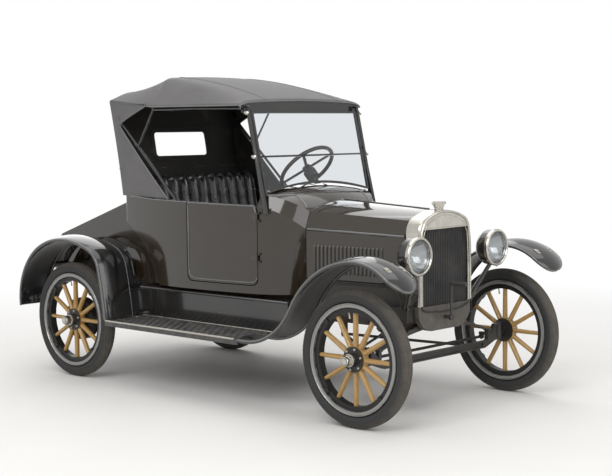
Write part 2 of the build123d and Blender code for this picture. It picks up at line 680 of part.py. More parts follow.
def body_plan(inset, ahead):
    """Sketch the body's plan, drawn in by an inset and carried some way ahead of the doors."""
    with BuildSketch(Plane.XY.offset(BODY_BOTTOM_Z)) as plan:
        with BuildLine():
            Polyline((DOOR_FRONT_X + ahead, 0), (DOOR_FRONT_X + ahead, BODY_FRONT_HALF), (DOOR_FRONT_X, BODY_FRONT_HALF))
            ThreePointArc(
                (DOOR_FRONT_X, BODY_FRONT_HALF),
                (BODY_MID_X, BODY_MAX_HALF),
                (TUB_REAR_X + BODY_CORNER - 2, BODY_REAR_HALF),
            )
            ThreePointArc(
                (TUB_REAR_X + BODY_CORNER - 2, BODY_REAR_HALF),
                (TUB_REAR_X + 12, BODY_REAR_HALF - 12),
                (TUB_REAR_X, BODY_REAR_HALF - BODY_CORNER),
            )
            Line((TUB_REAR_X, BODY_REAR_HALF - BODY_CORNER), (TUB_REAR_X, 0))
            mirror(about=Plane.XZ)
        make_face()
        if inset:
            offset(amount=-inset, kind=Kind.INTERSECTION, mode=Mode.REPLACE)
    return plan.sketch


# The body's side profile: the belt falls slowly from the rear corner to the cowl
SIDE_PROFILE = (
    (TUB_REAR_X - 100, BODY_BOTTOM_Z),
    (TUB_REAR_X - 100, BELT_REAR_Z),
    (TUB_REAR_X + 60, BELT_REAR_Z),
    (DOOR_REAR_X - 330, BELT_Z + 6),
    (DOOR_REAR_X, BELT_Z),
    (DOOR_FRONT_X, BELT_FRONT_Z),
    (DOOR_FRONT_X, BODY_BOTTOM_Z),
)


def door_outline(inset, y_low, y_high, mode):
    """Add or cut the door's outline, drawn in by an inset, between two Y places."""
    with BuildSketch(Plane.XZ.offset(-y_low)) as outline:
        with BuildLine():
            rear = DOOR_REAR_X + inset
            front = DOOR_FRONT_X - inset
            low = DOOR_BOTTOM_Z + inset
            FilletPolyline(
                (rear, BELT_REAR_Z + 50),
                (rear, low),
                (front, low),
                (front, BELT_REAR_Z + 50),
                radius=45,
                close=False,
            )
            Line((front, BELT_REAR_Z + 50), (rear, BELT_REAR_Z + 50))
        make_face()
    extrude(outline.sketch, amount=-(y_high - y_low), mode=mode)


with BuildPart() as body_tub:
    extrude(body_plan(0, 60), amount=700)
    extrude(body_plan(BODY_WALL, 200), amount=700, mode=Mode.SUBTRACT)
    side_plate(SIDE_PROFILE, -LONG / 4, LONG / 4, mode=Mode.INTERSECT)
    door_outline(-1, -LONG / 4, LONG / 4, Mode.SUBTRACT)
    # Wheel houses: cut over each rear wheel and closed again by an arched sheet and a wall
    for side in (-1, 1):
        low_y, high_y = sorted((side * HOUSE_IN_Y, side * LONG / 4))
        rod((REAR_AXLE_X, low_y, AXLE_Z), (REAR_AXLE_X, high_y, AXLE_Z), HOUSE_R, mode=Mode.SUBTRACT)

with BuildPart() as wheel_houses:
    extrude(body_plan(0, 60), amount=700)
    side_plate(
        (
            (TUB_REAR_X, BODY_BOTTOM_Z),
            (TUB_REAR_X, BELT_REAR_Z - 20),
            (DOOR_REAR_X - 40, BELT_REAR_Z - 20),
            (DOOR_REAR_X - 40, BODY_BOTTOM_Z),
        ),
        -LONG / 4,
        LONG / 4,
        mode=Mode.INTERSECT,
    )
    rod((REAR_AXLE_X, -LONG / 4, AXLE_Z), (REAR_AXLE_X, LONG / 4, AXLE_Z), HOUSE_R + SHEET, mode=Mode.INTERSECT)
    for side in (-1, 1):
        low_y, high_y = sorted((side * HOUSE_IN_Y, side * LONG / 4))
        rod((REAR_AXLE_X, low_y, AXLE_Z), (REAR_AXLE_X, high_y, AXLE_Z), HOUSE_R, mode=Mode.SUBTRACT)
    block(
        (TUB_REAR_X - 1, -HOUSE_IN_Y + SHEET, BODY_BOTTOM_Z - 1),
        (DOOR_REAR_X, HOUSE_IN_Y - SHEET, BELT_REAR_Z),
        mode=Mode.SUBTRACT,
    )
body_tub_part = body_tub.part + wheel_houses.part
save(body_tub_part, "body_tub")

# Doors: the same wall, cut to the door's outline, hung on two outside hinges at the front
HINGE_X = DOOR_FRONT_X + 3.0
HINGE_OUT = 15.0
HINGE_PIN_R = 6.0
HINGE_EYE_R = 10.5
HINGE_HEIGHTS = (BODY_BOTTOM_Z + 225.0, BODY_BOTTOM_Z + 475.0)
HINGE_EYE_HALF = 16.0
HINGE_LUG = 12.0
for name, side in SIDES:
    hinge_y = side * (BODY_FRONT_HALF + HINGE_OUT)
    with BuildPart() as door:
        extrude(body_plan(0, 60), amount=700)
        extrude(body_plan(BODY_WALL, 200), amount=700, mode=Mode.SUBTRACT)
        side_plate(SIDE_PROFILE, -LONG / 4, LONG / 4, mode=Mode.INTERSECT)
        low_y, high_y = sorted((side * 300, side * LONG / 4))
        door_outline(MOVE_GAP, low_y, high_y, Mode.INTERSECT)
        for z in HINGE_HEIGHTS:
            low_y, high_y = sorted((side * (BODY_FRONT_HALF - 5), hinge_y))
            block(
                (DOOR_FRONT_X - MOVE_GAP - 40, low_y, z - HINGE_EYE_HALF),
                (HINGE_X, high_y, z + HINGE_EYE_HALF),
            )
            rod((HINGE_X, hinge_y, z - HINGE_EYE_HALF), (HINGE_X, hinge_y, z + HINGE_EYE_HALF), HINGE_EYE_R)
            # Clear the post behind the eye and open the eye's bore
            low_y, high_y = sorted((side * (BODY_FRONT_HALF - 40), side * (BODY_FRONT_HALF + 3.5)))
            block(
                (DOOR_FRONT_X - MOVE_GAP, low_y, z - HINGE_EYE_HALF - 1),
                (HINGE_X + 30, high_y, z + HINGE_EYE_HALF + 1),
                mode=Mode.SUBTRACT,
            )
            rod(
                (HINGE_X, hinge_y, z - HINGE_EYE_HALF - 1),
                (HINGE_X, hinge_y, z + HINGE_EYE_HALF + 1),
                HINGE_PIN_R + PIN_GAP,
                mode=Mode.SUBTRACT,
            )
    save(door.part, f"door_{name}")

# Cowl: lofted from the door posts to the hood, hollow, with the dash and the door hinges' lugs
COWL_WALL = 24.0
# Stations: x, half width, side top, shoulder half width, shoulder height, crown (heights over body bottom)
COWL_STATIONS = (
    (DOOR_FRONT_X, BODY_FRONT_HALF, 540.0, 470.0, 606.0, 658.0),
    (DOOR_FRONT_X + 105.0, 455.0, 508.0, 420.0, 588.0, 638.0),
    (FIREWALL_X, HOOD_REAR_HALF, 402.0, 290.0, 508.0, 567.0),
)
POST_IN_Y = 488.0
POST_SEAT_X = DOOR_FRONT_X + 66.0
DASH_BOTTOM = 495.0
DASH_THICK = 10.0


def arch_face(x, half, side_top, shoulder, shoulder_top, crown, inset, low):
    """Sketch an arched section across the car, drawn in by an inset."""
    with BuildSketch(Plane.YZ.offset(x)) as section:
        with BuildLine():
            Polyline(
                (-shoulder + inset * 0.8, BODY_BOTTOM_Z + shoulder_top - inset * 0.8),
                (-half + inset, BODY_BOTTOM_Z + side_top - inset * 0.3),
                (-half + inset, BODY_BOTTOM_Z + low),
                (half - inset, BODY_BOTTOM_Z + low),
                (half - inset, BODY_BOTTOM_Z + side_top - inset * 0.3),
                (shoulder - inset * 0.8, BODY_BOTTOM_Z + shoulder_top - inset * 0.8),
            )
            ThreePointArc(
                (shoulder - inset * 0.8, BODY_BOTTOM_Z + shoulder_top - inset * 0.8),
                (0, BODY_BOTTOM_Z + crown - inset),
                (-shoulder + inset * 0.8, BODY_BOTTOM_Z + shoulder_top - inset * 0.8),
            )
        make_face()
    return section.sketch


with BuildPart() as cowl:
    loft([arch_face(*station, 0, 0) for station in COWL_STATIONS])
    loft([arch_face(*station, COWL_WALL, -10) for station in COWL_STATIONS], mode=Mode.SUBTRACT)
    # Firewall and dash
    x, *sizes = COWL_STATIONS[2]
    extrude(arch_face(x, *sizes, 2, 0), amount=-18)
    x, *sizes = COWL_STATIONS[0]
    extrude(arch_face(x + 8, *sizes, 16, DASH_BOTTOM), amount=DASH_THICK)
    rod(column(820), column(660), COLUMN_TUBE_R + 1, mode=Mode.SUBTRACT)
    for side in (-1, 1):
        hinge_y = side * (BODY_FRONT_HALF + HINGE_OUT)
        for z in HINGE_HEIGHTS:
            for low in (HINGE_EYE_HALF + 1, -HINGE_EYE_HALF - 1 - HINGE_LUG):
                low_y, high_y = sorted((side * (BODY_FRONT_HALF - 30), hinge_y))
                block((DOOR_FRONT_X, low_y, z + low), (DOOR_FRONT_X + 26, high_y, z + low + HINGE_LUG))
                rod((HINGE_X, hinge_y, z + low), (HINGE_X, hinge_y, z + low + HINGE_LUG), HINGE_EYE_R)
        low_y, high_y = sorted((side * (POST_IN_Y - 60), side * POST_IN_Y))
        block(
            (POST_SEAT_X - 17, low_y, BODY_BOTTOM_Z + 495),
            (POST_SEAT_X + 17, high_y, BODY_BOTTOM_Z + 527),
        )
        for z in HINGE_HEIGHTS:
            reach = HINGE_EYE_HALF + 1 + HINGE_LUG
            rod((HINGE_X, hinge_y, z - reach), (HINGE_X, hinge_y, z + reach), HINGE_PIN_R)
save(cowl.part, "cowl")

# Floor: sills on the frame, floor board, sloping toe board and the seat's riser and top
SILL_OUT_Y = RAIL_Y + 5.0
SILL_IN_Y = RAIL_Y - 45.0
APRON_THICK = 3.0
SEAT_BOARD_HALF = HOUSE_IN_Y - SHEET - 2
SEAT_FRONT_X = DOOR_REAR_X + 30.0
SEAT_BOARD_Z = BODY_BOTTOM_Z + 143.0
with BuildPart() as floor_boards:
    for side in (-1, 1):
        low_y, high_y = sorted((side * SILL_IN_Y, side * SILL_OUT_Y))
        block(
            (DECK_REAR_X + 60, low_y, FRAME_TOP_Z + APRON_THICK),
            (FIREWALL_X - 20, high_y, BODY_BOTTOM_Z),
        )
    extrude(body_plan(BODY_WALL, 60), amount=FLOOR_TOP_Z - BODY_BOTTOM_Z)
    block(
        (DOOR_FRONT_X - 2, -LONG / 4, BODY_BOTTOM_Z - 1),
        (FIREWALL_X, LONG / 4, FLOOR_TOP_Z + 1),
        mode=Mode.SUBTRACT,
    )
    for side in (-1, 1):
        low_y, high_y = sorted((side * (HOUSE_IN_Y - SHEET), side * LONG / 4))
        block(
            (TUB_REAR_X, low_y, BODY_BOTTOM_Z - 1),
            (REAR_AXLE_X + HOUSE_R - 30, high_y, FLOOR_TOP_Z + 1),
            mode=Mode.SUBTRACT,
        )
    side_plate(
        (
            (DOOR_FRONT_X - 10, BODY_BOTTOM_Z),
            (DOOR_FRONT_X + 60, BODY_BOTTOM_Z),
            (FIREWALL_X - 18, FLOOR_TOP_Z + 145),
            (FIREWALL_X - 18, FLOOR_TOP_Z + 167),
            (DOOR_FRONT_X + 50, FLOOR_TOP_Z),
            (DOOR_FRONT_X - 10, FLOOR_TOP_Z),
        ),
        -HOOD_REAR_HALF + 34,
        HOOD_REAR_HALF - 34,
    )
    side_plate(
        (
            (SEAT_FRONT_X - 20, FLOOR_TOP_Z),
            (SEAT_FRONT_X, FLOOR_TOP_Z),
            (SEAT_FRONT_X, SEAT_BOARD_Z),
            (TUB_REAR_X + BODY_WALL, SEAT_BOARD_Z),
            (TUB_REAR_X + BODY_WALL, SEAT_BOARD_Z - 18),
            (SEAT_FRONT_X - 20, SEAT_BOARD_Z - 18),
        ),
        -SEAT_BOARD_HALF,
        SEAT_BOARD_HALF,
    )
save(floor_boards.part, "floor_boards")

# Rear deck: a hollow tail with a sloping top, and its lid on two outside hinges
DECK_FRONT_HALF = 480.0
DECK_REAR_HALF = 450.0
DECK_WALL = 20.0
DECK_FRONT_Z = BODY_BOTTOM_Z + 533.0
DECK_TAIL_Z = BODY_BOTTOM_Z + 272.0
DECK_TAIL_X = DECK_REAR_X + 50.0
DECK_SLOPE = (DECK_FRONT_Z - DECK_TAIL_Z) / (TUB_REAR_X - DECK_TAIL_X)
LID_FRONT_X = TUB_REAR_X - 40.0
LID_REAR_X = DECK_REAR_X + 105.0
LID_HALF = 340.0
LID_HINGE_X = LID_FRONT_X - MOVE_GAP / 2


def deck_top(x):
    """Height of the deck's sloping top at a station."""
    return DECK_FRONT_Z - (TUB_REAR_X - x) * DECK_SLOPE


def deck_half(x):
    """Half width of the deck at a station."""
    share = (TUB_REAR_X - x) / (TUB_REAR_X - DECK_REAR_X)
    return DECK_FRONT_HALF + (DECK_REAR_HALF - DECK_FRONT_HALF) * share


def deck_form(inset):
    """The tail's solid form, drawn in by an inset."""
    with BuildPart() as form:
        with BuildSketch(Plane.XZ.offset(-LONG / 4)):
            with BuildLine():
                Polyline(
                    (TUB_REAR_X - inset, BODY_BOTTOM_Z + inset),
                    (TUB_REAR_X - inset, deck_top(TUB_REAR_X - inset) - inset),
                    (DECK_TAIL_X + inset / 2, deck_top(DECK_TAIL_X + inset / 2) - inset),
                )
                ThreePointArc(
                    (DECK_TAIL_X + inset / 2, deck_top(DECK_TAIL_X + inset / 2) - inset),
                    (DECK_REAR_X + 12 + inset * 0.8, DECK_TAIL_Z - 24 - inset * 0.4),
                    (DECK_REAR_X + inset, DECK_TAIL_Z - 60),
                )
                Polyline(
                    (DECK_REAR_X + inset, DECK_TAIL_Z - 60),
                    (DECK_REAR_X + 30 + inset, BODY_BOTTOM_Z + inset),
                    (TUB_REAR_X - inset, BODY_BOTTOM_Z + inset),
                )
            make_face()
        extrude(amount=LONG / 2)
        with BuildSketch(Plane.XY):
            with BuildLine():
                Polyline(
                    (DECK_REAR_X + inset, 0),
                    (DECK_REAR_X + inset, DECK_REAR_HALF - 90),
                )
                ThreePointArc(
                    (DECK_REAR_X + inset, DECK_REAR_HALF - 90),
                    (DECK_REAR_X + 24 + inset * 0.8, DECK_REAR_HALF - 22 - inset * 0.8),
                    (DECK_REAR_X + 90, DECK_REAR_HALF - inset),
                )
                Polyline(
                    (DECK_REAR_X + 90, DECK_REAR_HALF - inset),
                    (TUB_REAR_X, DECK_FRONT_HALF - inset),
                    (TUB_REAR_X, 0),
                )
                mirror(about=Plane.XZ)
            make_face()
        extrude(amount=LONG, mode=Mode.INTERSECT)
    return form.part


def lid_prism(inset, mode):
    """Keep or cut what lies over the lid's plan, drawn in by an inset."""
    with BuildSketch(Plane.XY.offset(DECK_TAIL_Z - 60)) as plan:
        with Locations(((LID_FRONT_X + LID_REAR_X) / 2, 0)):
            RectangleRounded(LID_FRONT_X - LID_REAR_X - 2 * inset, 2 * (LID_HALF - inset), 30 - inset)
    extrude(plan.sketch, amount=600, mode=mode)


deck_outer = deck_form(0)
deck_inner = deck_form(DECK_WALL)
LID_HINGE_Z = deck_top(LID_HINGE_X) + 12.0
LID_EYE_R = 9.0
LID_PIN_R = 4.5
LID_EYE_HALF = 15.0
LID_HINGES_Y = (-230.0, 230.0)

with BuildPart() as turtle_deck:
    add(deck_outer)
    add(deck_inner, mode=Mode.SUBTRACT)
    lid_prism(0, Mode.SUBTRACT)
    for y in LID_HINGES_Y:
        for low in (-LID_EYE_HALF - 11, LID_EYE_HALF + 1):
            block(
                (LID_HINGE_X + 3, y + low, LID_HINGE_Z - 20),
                (LID_HINGE_X + 22, y + low + 10, LID_HINGE_Z + 4),
            )
            rod((LID_HINGE_X, y + low, LID_HINGE_Z), (LID_HINGE_X, y + low + 10, LID_HINGE_Z), LID_EYE_R)
        rod(
            (LID_HINGE_X, y - LID_EYE_HALF - 11, LID_HINGE_Z),
            (LID_HINGE_X, y + LID_EYE_HALF + 11, LID_HINGE_Z),
            LID_PIN_R,
        )
save(turtle_deck.part, "turtle_deck")

with BuildPart() as deck_lid:
    add(deck_outer)
    add(deck_inner, mode=Mode.SUBTRACT)
    lid_prism(MOVE_GAP, Mode.INTERSECT)
    for y in LID_HINGES_Y:
        block(
            (LID_HINGE_X - 40, y - LID_EYE_HALF, LID_HINGE_Z - 32),
            (LID_HINGE_X - 3, y + LID_EYE_HALF, LID_HINGE_Z + 4),
        )
        rod((LID_HINGE_X, y - LID_EYE_HALF, LID_HINGE_Z), (LID_HINGE_X, y + LID_EYE_HALF, LID_HINGE_Z), LID_EYE_R)
        rod(
            (LID_HINGE_X, y - LID_EYE_HALF - 1, LID_HINGE_Z),
            (LID_HINGE_X, y + LID_EYE_HALF + 1, LID_HINGE_Z),
            LID_PIN_R + PIN_GAP,
            mode=Mode.SUBTRACT,
        )
    rod((LID_REAR_X + 40, 0, deck_top(LID_REAR_X + 40) - 4), (LID_REAR_X + 40, 0, deck_top(LID_REAR_X + 40) + 18), 6.0)
    rod(
        (LID_REAR_X + 40, -35, deck_top(LID_REAR_X + 40) + 20),
        (LID_REAR_X + 40, 35, deck_top(LID_REAR_X + 40) + 20),
        7.0,
    )
save(deck_lid.part, "deck_lid")

# Radiator: a shell with an arched top round a finned core, a filler cap and a lower apron
RADIATOR_HALF = 245.0
RADIATOR_SIDE_TOP = FRAME_TOP_Z + 440.0
RADIATOR_TOP_Z = FRAME_TOP_Z + 563.0
CORE_HALF = 213.0
CORE_LOW_Z = FRAME_TOP_Z + 8.0
CORE_HIGH_Z = FRAME_TOP_Z + 455.0
APRON_LOW_Z = FRAME_TOP_Z - 138.0
CRANK_Z = FRAME_BOTTOM_Z + 10.0
CRANK_R = 11.0
CAP_X = RADIATOR_FRONT_X - 50.0

with BuildPart() as radiator_shell:
    with BuildSketch(Plane.YZ.offset(RADIATOR_BACK_X)):
        with BuildLine():
            Polyline((0, FRAME_TOP_Z), (RADIATOR_HALF, FRAME_TOP_Z), (RADIATOR_HALF, RADIATOR_SIDE_TOP))
            ThreePointArc(
                (RADIATOR_HALF, RADIATOR_SIDE_TOP),
                (RADIATOR_HALF - 15, RADIATOR_SIDE_TOP + 48),
                (RADIATOR_HALF - 55, RADIATOR_SIDE_TOP + 82),
            )
            ThreePointArc(
                (RADIATOR_HALF - 55, RADIATOR_SIDE_TOP + 82),
                (RADIATOR_HALF / 2 - 20, RADIATOR_TOP_Z - 12),
                (0, RADIATOR_TOP_Z),
            )
            mirror(about=Plane.YZ)
        make_face()
    extrude(amount=RADIATOR_FRONT_X - RADIATOR_BACK_X)
    front_edges = radiator_shell.faces().sort_by(Axis.X)[-1].edges().filter_by(GeomType.CIRCLE)
    fillet(front_edges + radiator_shell.faces().sort_by(Axis.X)[-1].edges().filter_by(Axis.Z), 14)
    block(
        (RADIATOR_BACK_X - 1, -CORE_HALF, CORE_LOW_Z),
        (RADIATOR_FRONT_X + 1, CORE_HALF, CORE_HIGH_Z),
        mode=Mode.SUBTRACT,
    )
    # Apron below, with the crank's hole
    with BuildSketch(Plane.YZ.offset(FRONT_AXLE_X + CROSS_HALF + 8)):
        with BuildLine():
            Polyline((0, FRAME_TOP_Z), (RADIATOR_HALF, FRAME_TOP_Z), (RADIATOR_HALF, FRAME_TOP_Z - 50))
            ThreePointArc(
                (RADIATOR_HALF, FRAME_TOP_Z - 50),
                (RADIATOR_HALF - 42, APRON_LOW_Z + 30),
                (RADIATOR_HALF - 120, APRON_LOW_Z),
            )
            Line((RADIATOR_HALF - 120, APRON_LOW_Z), (0, APRON_LOW_Z))
            mirror(about=Plane.YZ)
        make_face()
        with Locations((0, CRANK_Z)):
            Circle(CRANK_R + PIN_GAP, mode=Mode.SUBTRACT)
    extrude(amount=RADIATOR_FRONT_X - FRONT_AXLE_X - CROSS_HALF - 14)
    rod((CAP_X, 0, RADIATOR_TOP_Z - 10), (CAP_X, 0, RADIATOR_TOP_Z + 22), 26.0)
    rod((CAP_X, 0, RADIATOR_TOP_Z + 22), (CAP_X, 0, RADIATOR_TOP_Z + 48), 33.0)
    rod((CAP_X, -58, RADIATOR_TOP_Z + 38), (CAP_X, 58, RADIATOR_TOP_Z + 38), 9.0)
save(radiator_shell.part, "radiator_shell")

with BuildPart() as radiator_core:
    block(
        (RADIATOR_BACK_X + 12, -CORE_HALF, CORE_LOW_Z),
        (RADIATOR_FRONT_X - 18, CORE_HALF, CORE_HIGH_Z),
    )
save(radiator_core.part, "radiator_core")

# Starting crank: a shaft through the front cross member and the apron, an arm and a grip
CRANK_ARM = 200.0
CRANK_ARM_X = RADIATOR_FRONT_X + 40.0
with BuildPart() as crank:
    rod((FRONT_AXLE_X + CROSS_HALF + 2, 0, CRANK_Z), (CRANK_ARM_X + 8, 0, CRANK_Z), CRANK_R)
    rod((CRANK_ARM_X, 0, CRANK_Z), (CRANK_ARM_X, 0, CRANK_Z + CRANK_ARM), 8.0)
    rod((CRANK_ARM_X - 8, 0, CRANK_Z + CRANK_ARM), (CRANK_ARM_X + 112, 0, CRANK_Z + CRANK_ARM), 13.0)
    rod((CRANK_ARM_X - 8, 0, CRANK_Z), (CRANK_ARM_X + 8, 0, CRANK_Z), 18.0)
save(crank.part, "crank")

# Hood: a fixed centre rod, two top panels hung on it, and a side panel hung on each top panel
HOOD_SHEET = 4.0
HOOD_REAR_X = FIREWALL_X + MOVE_GAP
HOOD_FRONT_X = RADIATOR_BACK_X - MOVE_GAP
HOOD_ROD_R = 4.0
HOOD_EYE_R = 8.0
HOOD_AXIS_DROP = 1.0
HOOD_LEAF = 3.0
SIDE_ROD_R = 3.0
SIDE_EYE_R = 6.5
HOOD_PIECES = 6
# Sections at each end: x, half width, side hinge height, shoulder half width, its height, crown
HOOD_REAR = (FIREWALL_X, HOOD_REAR_HALF, BODY_BOTTOM_Z + 402.0, 290.0, BODY_BOTTOM_Z + 508.0, BODY_BOTTOM_Z + 567.0)
HOOD_FRONT = (
    RADIATOR_BACK_X,
    HOOD_FRONT_HALF,
    FRAME_TOP_Z + 416.0,
    205.0,
    FRAME_TOP_Z + 507.0,
    RADIATOR_TOP_Z - 1.0,
)


def hood_size(x):
    """The hood's sizes at a station, on straight lines from the cowl to the radiator."""
    return along(HOOD_REAR, HOOD_FRONT, (x - FIREWALL_X) / (RADIATOR_BACK_X - FIREWALL_X))


def hood_axis(x):
    """A point on the centre hinge's axis."""
    return (x, 0.0, hood_size(x)[5] - HOOD_AXIS_DROP)


def side_axis(x, side):
    """A point on a side hinge's axis, at the hood's outer face."""
    size = hood_size(x)
    return (x, side * (size[1] - 1.0), size[2])


def top_panel_face(x, side):
    """Sketch a top panel's section from the centre hinge to the side hinge."""
    x, half, hinge_z, shoulder, shoulder_z, crown = hood_size(x)
    inner_y = side * (HOOD_EYE_R + 4)
    mid_y = side * shoulder * 0.52
    mid_z = crown - (crown - shoulder_z) * 0.27
    with BuildSketch(Plane.YZ.offset(x)) as section:
        with BuildLine():
            ThreePointArc((inner_y, crown), (mid_y, mid_z), (side * shoulder, shoulder_z))
            Polyline(
                (side * shoulder, shoulder_z),
                (side * (half - 1), hinge_z + 9),
                (side * (half - 1 - HOOD_SHEET), hinge_z + 9),
                (side * (shoulder - HOOD_SHEET), shoulder_z - 2),
            )
            ThreePointArc(
                (side * (shoulder - HOOD_SHEET), shoulder_z - 2),
                (mid_y, mid_z - HOOD_SHEET),
                (inner_y, crown - HOOD_SHEET),
            )
            Line((inner_y, crown - HOOD_SHEET), (inner_y, crown))
        make_face()
    return section.sketch


def side_panel_face(x, side):
    """Sketch a side panel's section from the side hinge down to the shelf."""
    half, hinge_z = hood_size(x)[1:3]
    with BuildSketch(Plane.YZ.offset(x)) as section:
        with BuildLine():
            Polyline(
                (side * (half - 1), hinge_z - 9),
                (side * (half - 1), HOOD_SIDE_BOTTOM_Z),
                (side * (half - 1 - HOOD_SHEET), HOOD_SIDE_BOTTOM_Z),
                (side * (half - 1 - HOOD_SHEET), hinge_z - 9),
                close=True,
            )
        make_face()
    return section.sketch


def hinge_spans(first):
    """Start and end stations of every other piece of a hinge."""
    step = (HOOD_FRONT_X - HOOD_REAR_X - 40) / HOOD_PIECES
    for piece in range(first, HOOD_PIECES, 2):
        start = HOOD_REAR_X + 20 + piece * step
        yield start + 1, start + step - 1


with BuildPart() as hood_hinge:
    rod(hood_axis(FIREWALL_X - 5), hood_axis(RADIATOR_BACK_X + 5), HOOD_ROD_R)
    block((FIREWALL_X, -20, FRAME_TOP_Z), (RADIATOR_BACK_X, 20, RADIATOR_TOP_Z + 60), mode=Mode.INTERSECT)
save(hood_hinge.part, "hood_hinge")

for name, side in SIDES:
    with BuildPart() as hood_top:
        loft([top_panel_face(HOOD_REAR_X, side), top_panel_face(HOOD_FRONT_X, side)], ruled=True)
        for start, end in hinge_spans(0 if side < 0 else 1):
            axis_start, axis_end = hood_axis(start), hood_axis(end)
            rod(axis_start, axis_end, HOOD_EYE_R)
            low_y, high_y = sorted((side * 4, side * (HOOD_EYE_R + 6)))
            cross = Plane(origin=axis_start, x_dir=(0, 1, 0), z_dir=Vector(*axis_end) - Vector(*axis_start))
            with BuildSketch(cross) as leaf:
                with Locations(((low_y + high_y) / 2, HOOD_AXIS_DROP - HOOD_SHEET / 2)):
                    Rectangle(high_y - low_y, HOOD_LEAF)
            extrude(leaf.sketch, amount=math.dist(axis_start, axis_end))
            rod(axis_start, axis_end, HOOD_ROD_R + PIN_GAP, mode=Mode.SUBTRACT)
        for start, end in hinge_spans(0):
            axis_start, axis_end = side_axis(start, side), side_axis(end, side)
            rod(axis_start, axis_end, SIDE_EYE_R)
            cross = Plane(origin=axis_start, x_dir=(0, 1, 0), z_dir=Vector(*axis_end) - Vector(*axis_start))
            with BuildSketch(cross) as leaf:
                with Locations((-side * HOOD_SHEET / 2, -7.5 if cross.y_dir.Z < 0 else 7.5)):
                    Rectangle(HOOD_SHEET, 8)
            extrude(leaf.sketch, amount=math.dist(axis_start, axis_end))
        rod(side_axis(HOOD_REAR_X + 20, side), side_axis(HOOD_FRONT_X - 20, side), SIDE_ROD_R)
    save(hood_top.part, f"hood_top_{name}")

    with BuildPart() as hood_side:
        loft([side_panel_face(HOOD_REAR_X, side), side_panel_face(HOOD_FRONT_X, side)], ruled=True)
        for start, end in hinge_spans(1):
            axis_start, axis_end = side_axis(start, side), side_axis(end, side)
            rod(axis_start, axis_end, SIDE_EYE_R)
            cross = Plane(origin=axis_start, x_dir=(0, 1, 0), z_dir=Vector(*axis_end) - Vector(*axis_start))
            with BuildSketch(cross) as leaf:
                with Locations((-side * HOOD_SHEET / 2, 7.5 if cross.y_dir.Z < 0 else -7.5)):
                    Rectangle(HOOD_SHEET, 8)
            extrude(leaf.sketch, amount=math.dist(axis_start, axis_end))
            rod(axis_start, axis_end, SIDE_ROD_R + PIN_GAP, mode=Mode.SUBTRACT)
    save(hood_side.part, f"hood_side_{name}")

# Windshield: two posts on the cowl's sides and two framed panes, leaning back
SHIELD_BASE_X = REAR_AXLE_X + 1606.0
SHIELD_BASE_Z = BODY_BOTTOM_Z + 608.0
SHIELD_LEAN = 12.6
SHIELD_TALL = 522.0
SHIELD_SPLIT = 237.0
SHIELD_HALF = 478.0
SHIELD_BAR = 15.0
SHIELD_DEEP = 14.0
SHIELD_GAP = 6.0
GLASS_THICK = 5.0
POST_OUT_Y = POST_IN_Y + 22.0
POST_DEEP = 26.0
POST_LOW = -116.0
POST_HIGH = 540.0
lean = math.radians(SHIELD_LEAN)
SHIELD_UP = (-math.sin(lean), 0.0, math.cos(lean))
SHIELD_OUT = (math.cos(lean), 0.0, math.sin(lean))


def shield(up, out=0.0):
    """X and Z of a point this far up the windshield and this far in front of it."""
    return (
        SHIELD_BASE_X + SHIELD_UP[0] * up + SHIELD_OUT[0] * out,
        SHIELD_BASE_Z + SHIELD_UP[2] * up + SHIELD_OUT[2] * out,
    )


def shield_plane(out):
    """The windshield's plane, this far in front of its middle: across is local X, up is local Y."""
    x, z = shield(0, out)
    return Plane(origin=(x, 0, z), x_dir=(0, 1, 0), z_dir=SHIELD_OUT)


# Each pane: its low and high edges, and how far its low edge rises to the middle
PANES = (
    (0.0, SHIELD_SPLIT - SHIELD_GAP / 2, 58.0),
    (SHIELD_SPLIT + SHIELD_GAP / 2, SHIELD_TALL, 0.0),
)


def pane(low, high, rise, inset):
    """Draw a pane's outline, drawn in by an inset, in the current sketch."""
    half = SHIELD_HALF - inset
    with BuildLine() as outline:
        Polyline((half, low + inset), (half, high - inset), (-half, high - inset), (-half, low + inset))
        if rise:
            ThreePointArc((-half, low + inset), (0, low + rise + inset), (half, low + inset))
        else:
            Line((-half, low + inset), (half, low + inset))
    return make_face(outline.line, mode=Mode.PRIVATE)


with BuildPart() as windshield_frame:
    for low, high, rise in PANES:
        with BuildSketch(shield_plane(-SHIELD_DEEP / 2)) as ring:
            add(pane(low, high, rise, 0))
            add(pane(low, high, rise, SHIELD_BAR), mode=Mode.SUBTRACT)
        extrude(amount=SHIELD_DEEP)
    for side in (-1, 1):
        low_x, high_x = sorted((side * POST_IN_Y, side * POST_OUT_Y))
        with BuildSketch(shield_plane(-POST_DEEP / 2)):
            with Locations(((low_x + high_x) / 2, (POST_LOW + POST_HIGH) / 2)):
                Rectangle(high_x - low_x, POST_HIGH - POST_LOW)
        extrude(amount=POST_DEEP)
        # Arms that carry the frames at the foot, the split and the head, with knobs outside
        for up in (12.0, SHIELD_SPLIT - 20, SHIELD_SPLIT + 20, SHIELD_TALL - 12):
            low_x, high_x = sorted((side * (SHIELD_HALF - 4), side * (POST_IN_Y + 2)))
            with BuildSketch(shield_plane(-6)):
                with Locations(((low_x + high_x) / 2, up)):
                    Rectangle(high_x - low_x, 16)
            extrude(amount=12)
        for up in (SHIELD_SPLIT, SHIELD_TALL - 12):
            x, z = shield(up)
            rod((x, side * (POST_OUT_Y - 2), z), (x, side * (POST_OUT_Y + 12), z), 13.0)
save(windshield_frame.part, "windshield_frame")

with BuildPart() as windshield_glass:
    for low, high, rise in PANES:
        with BuildSketch(shield_plane(-GLASS_THICK / 2)):
            add(pane(low, high, rise, SHIELD_BAR))
        extrude(amount=GLASS_THICK)
save(windshield_glass.part, "windshield_glass")

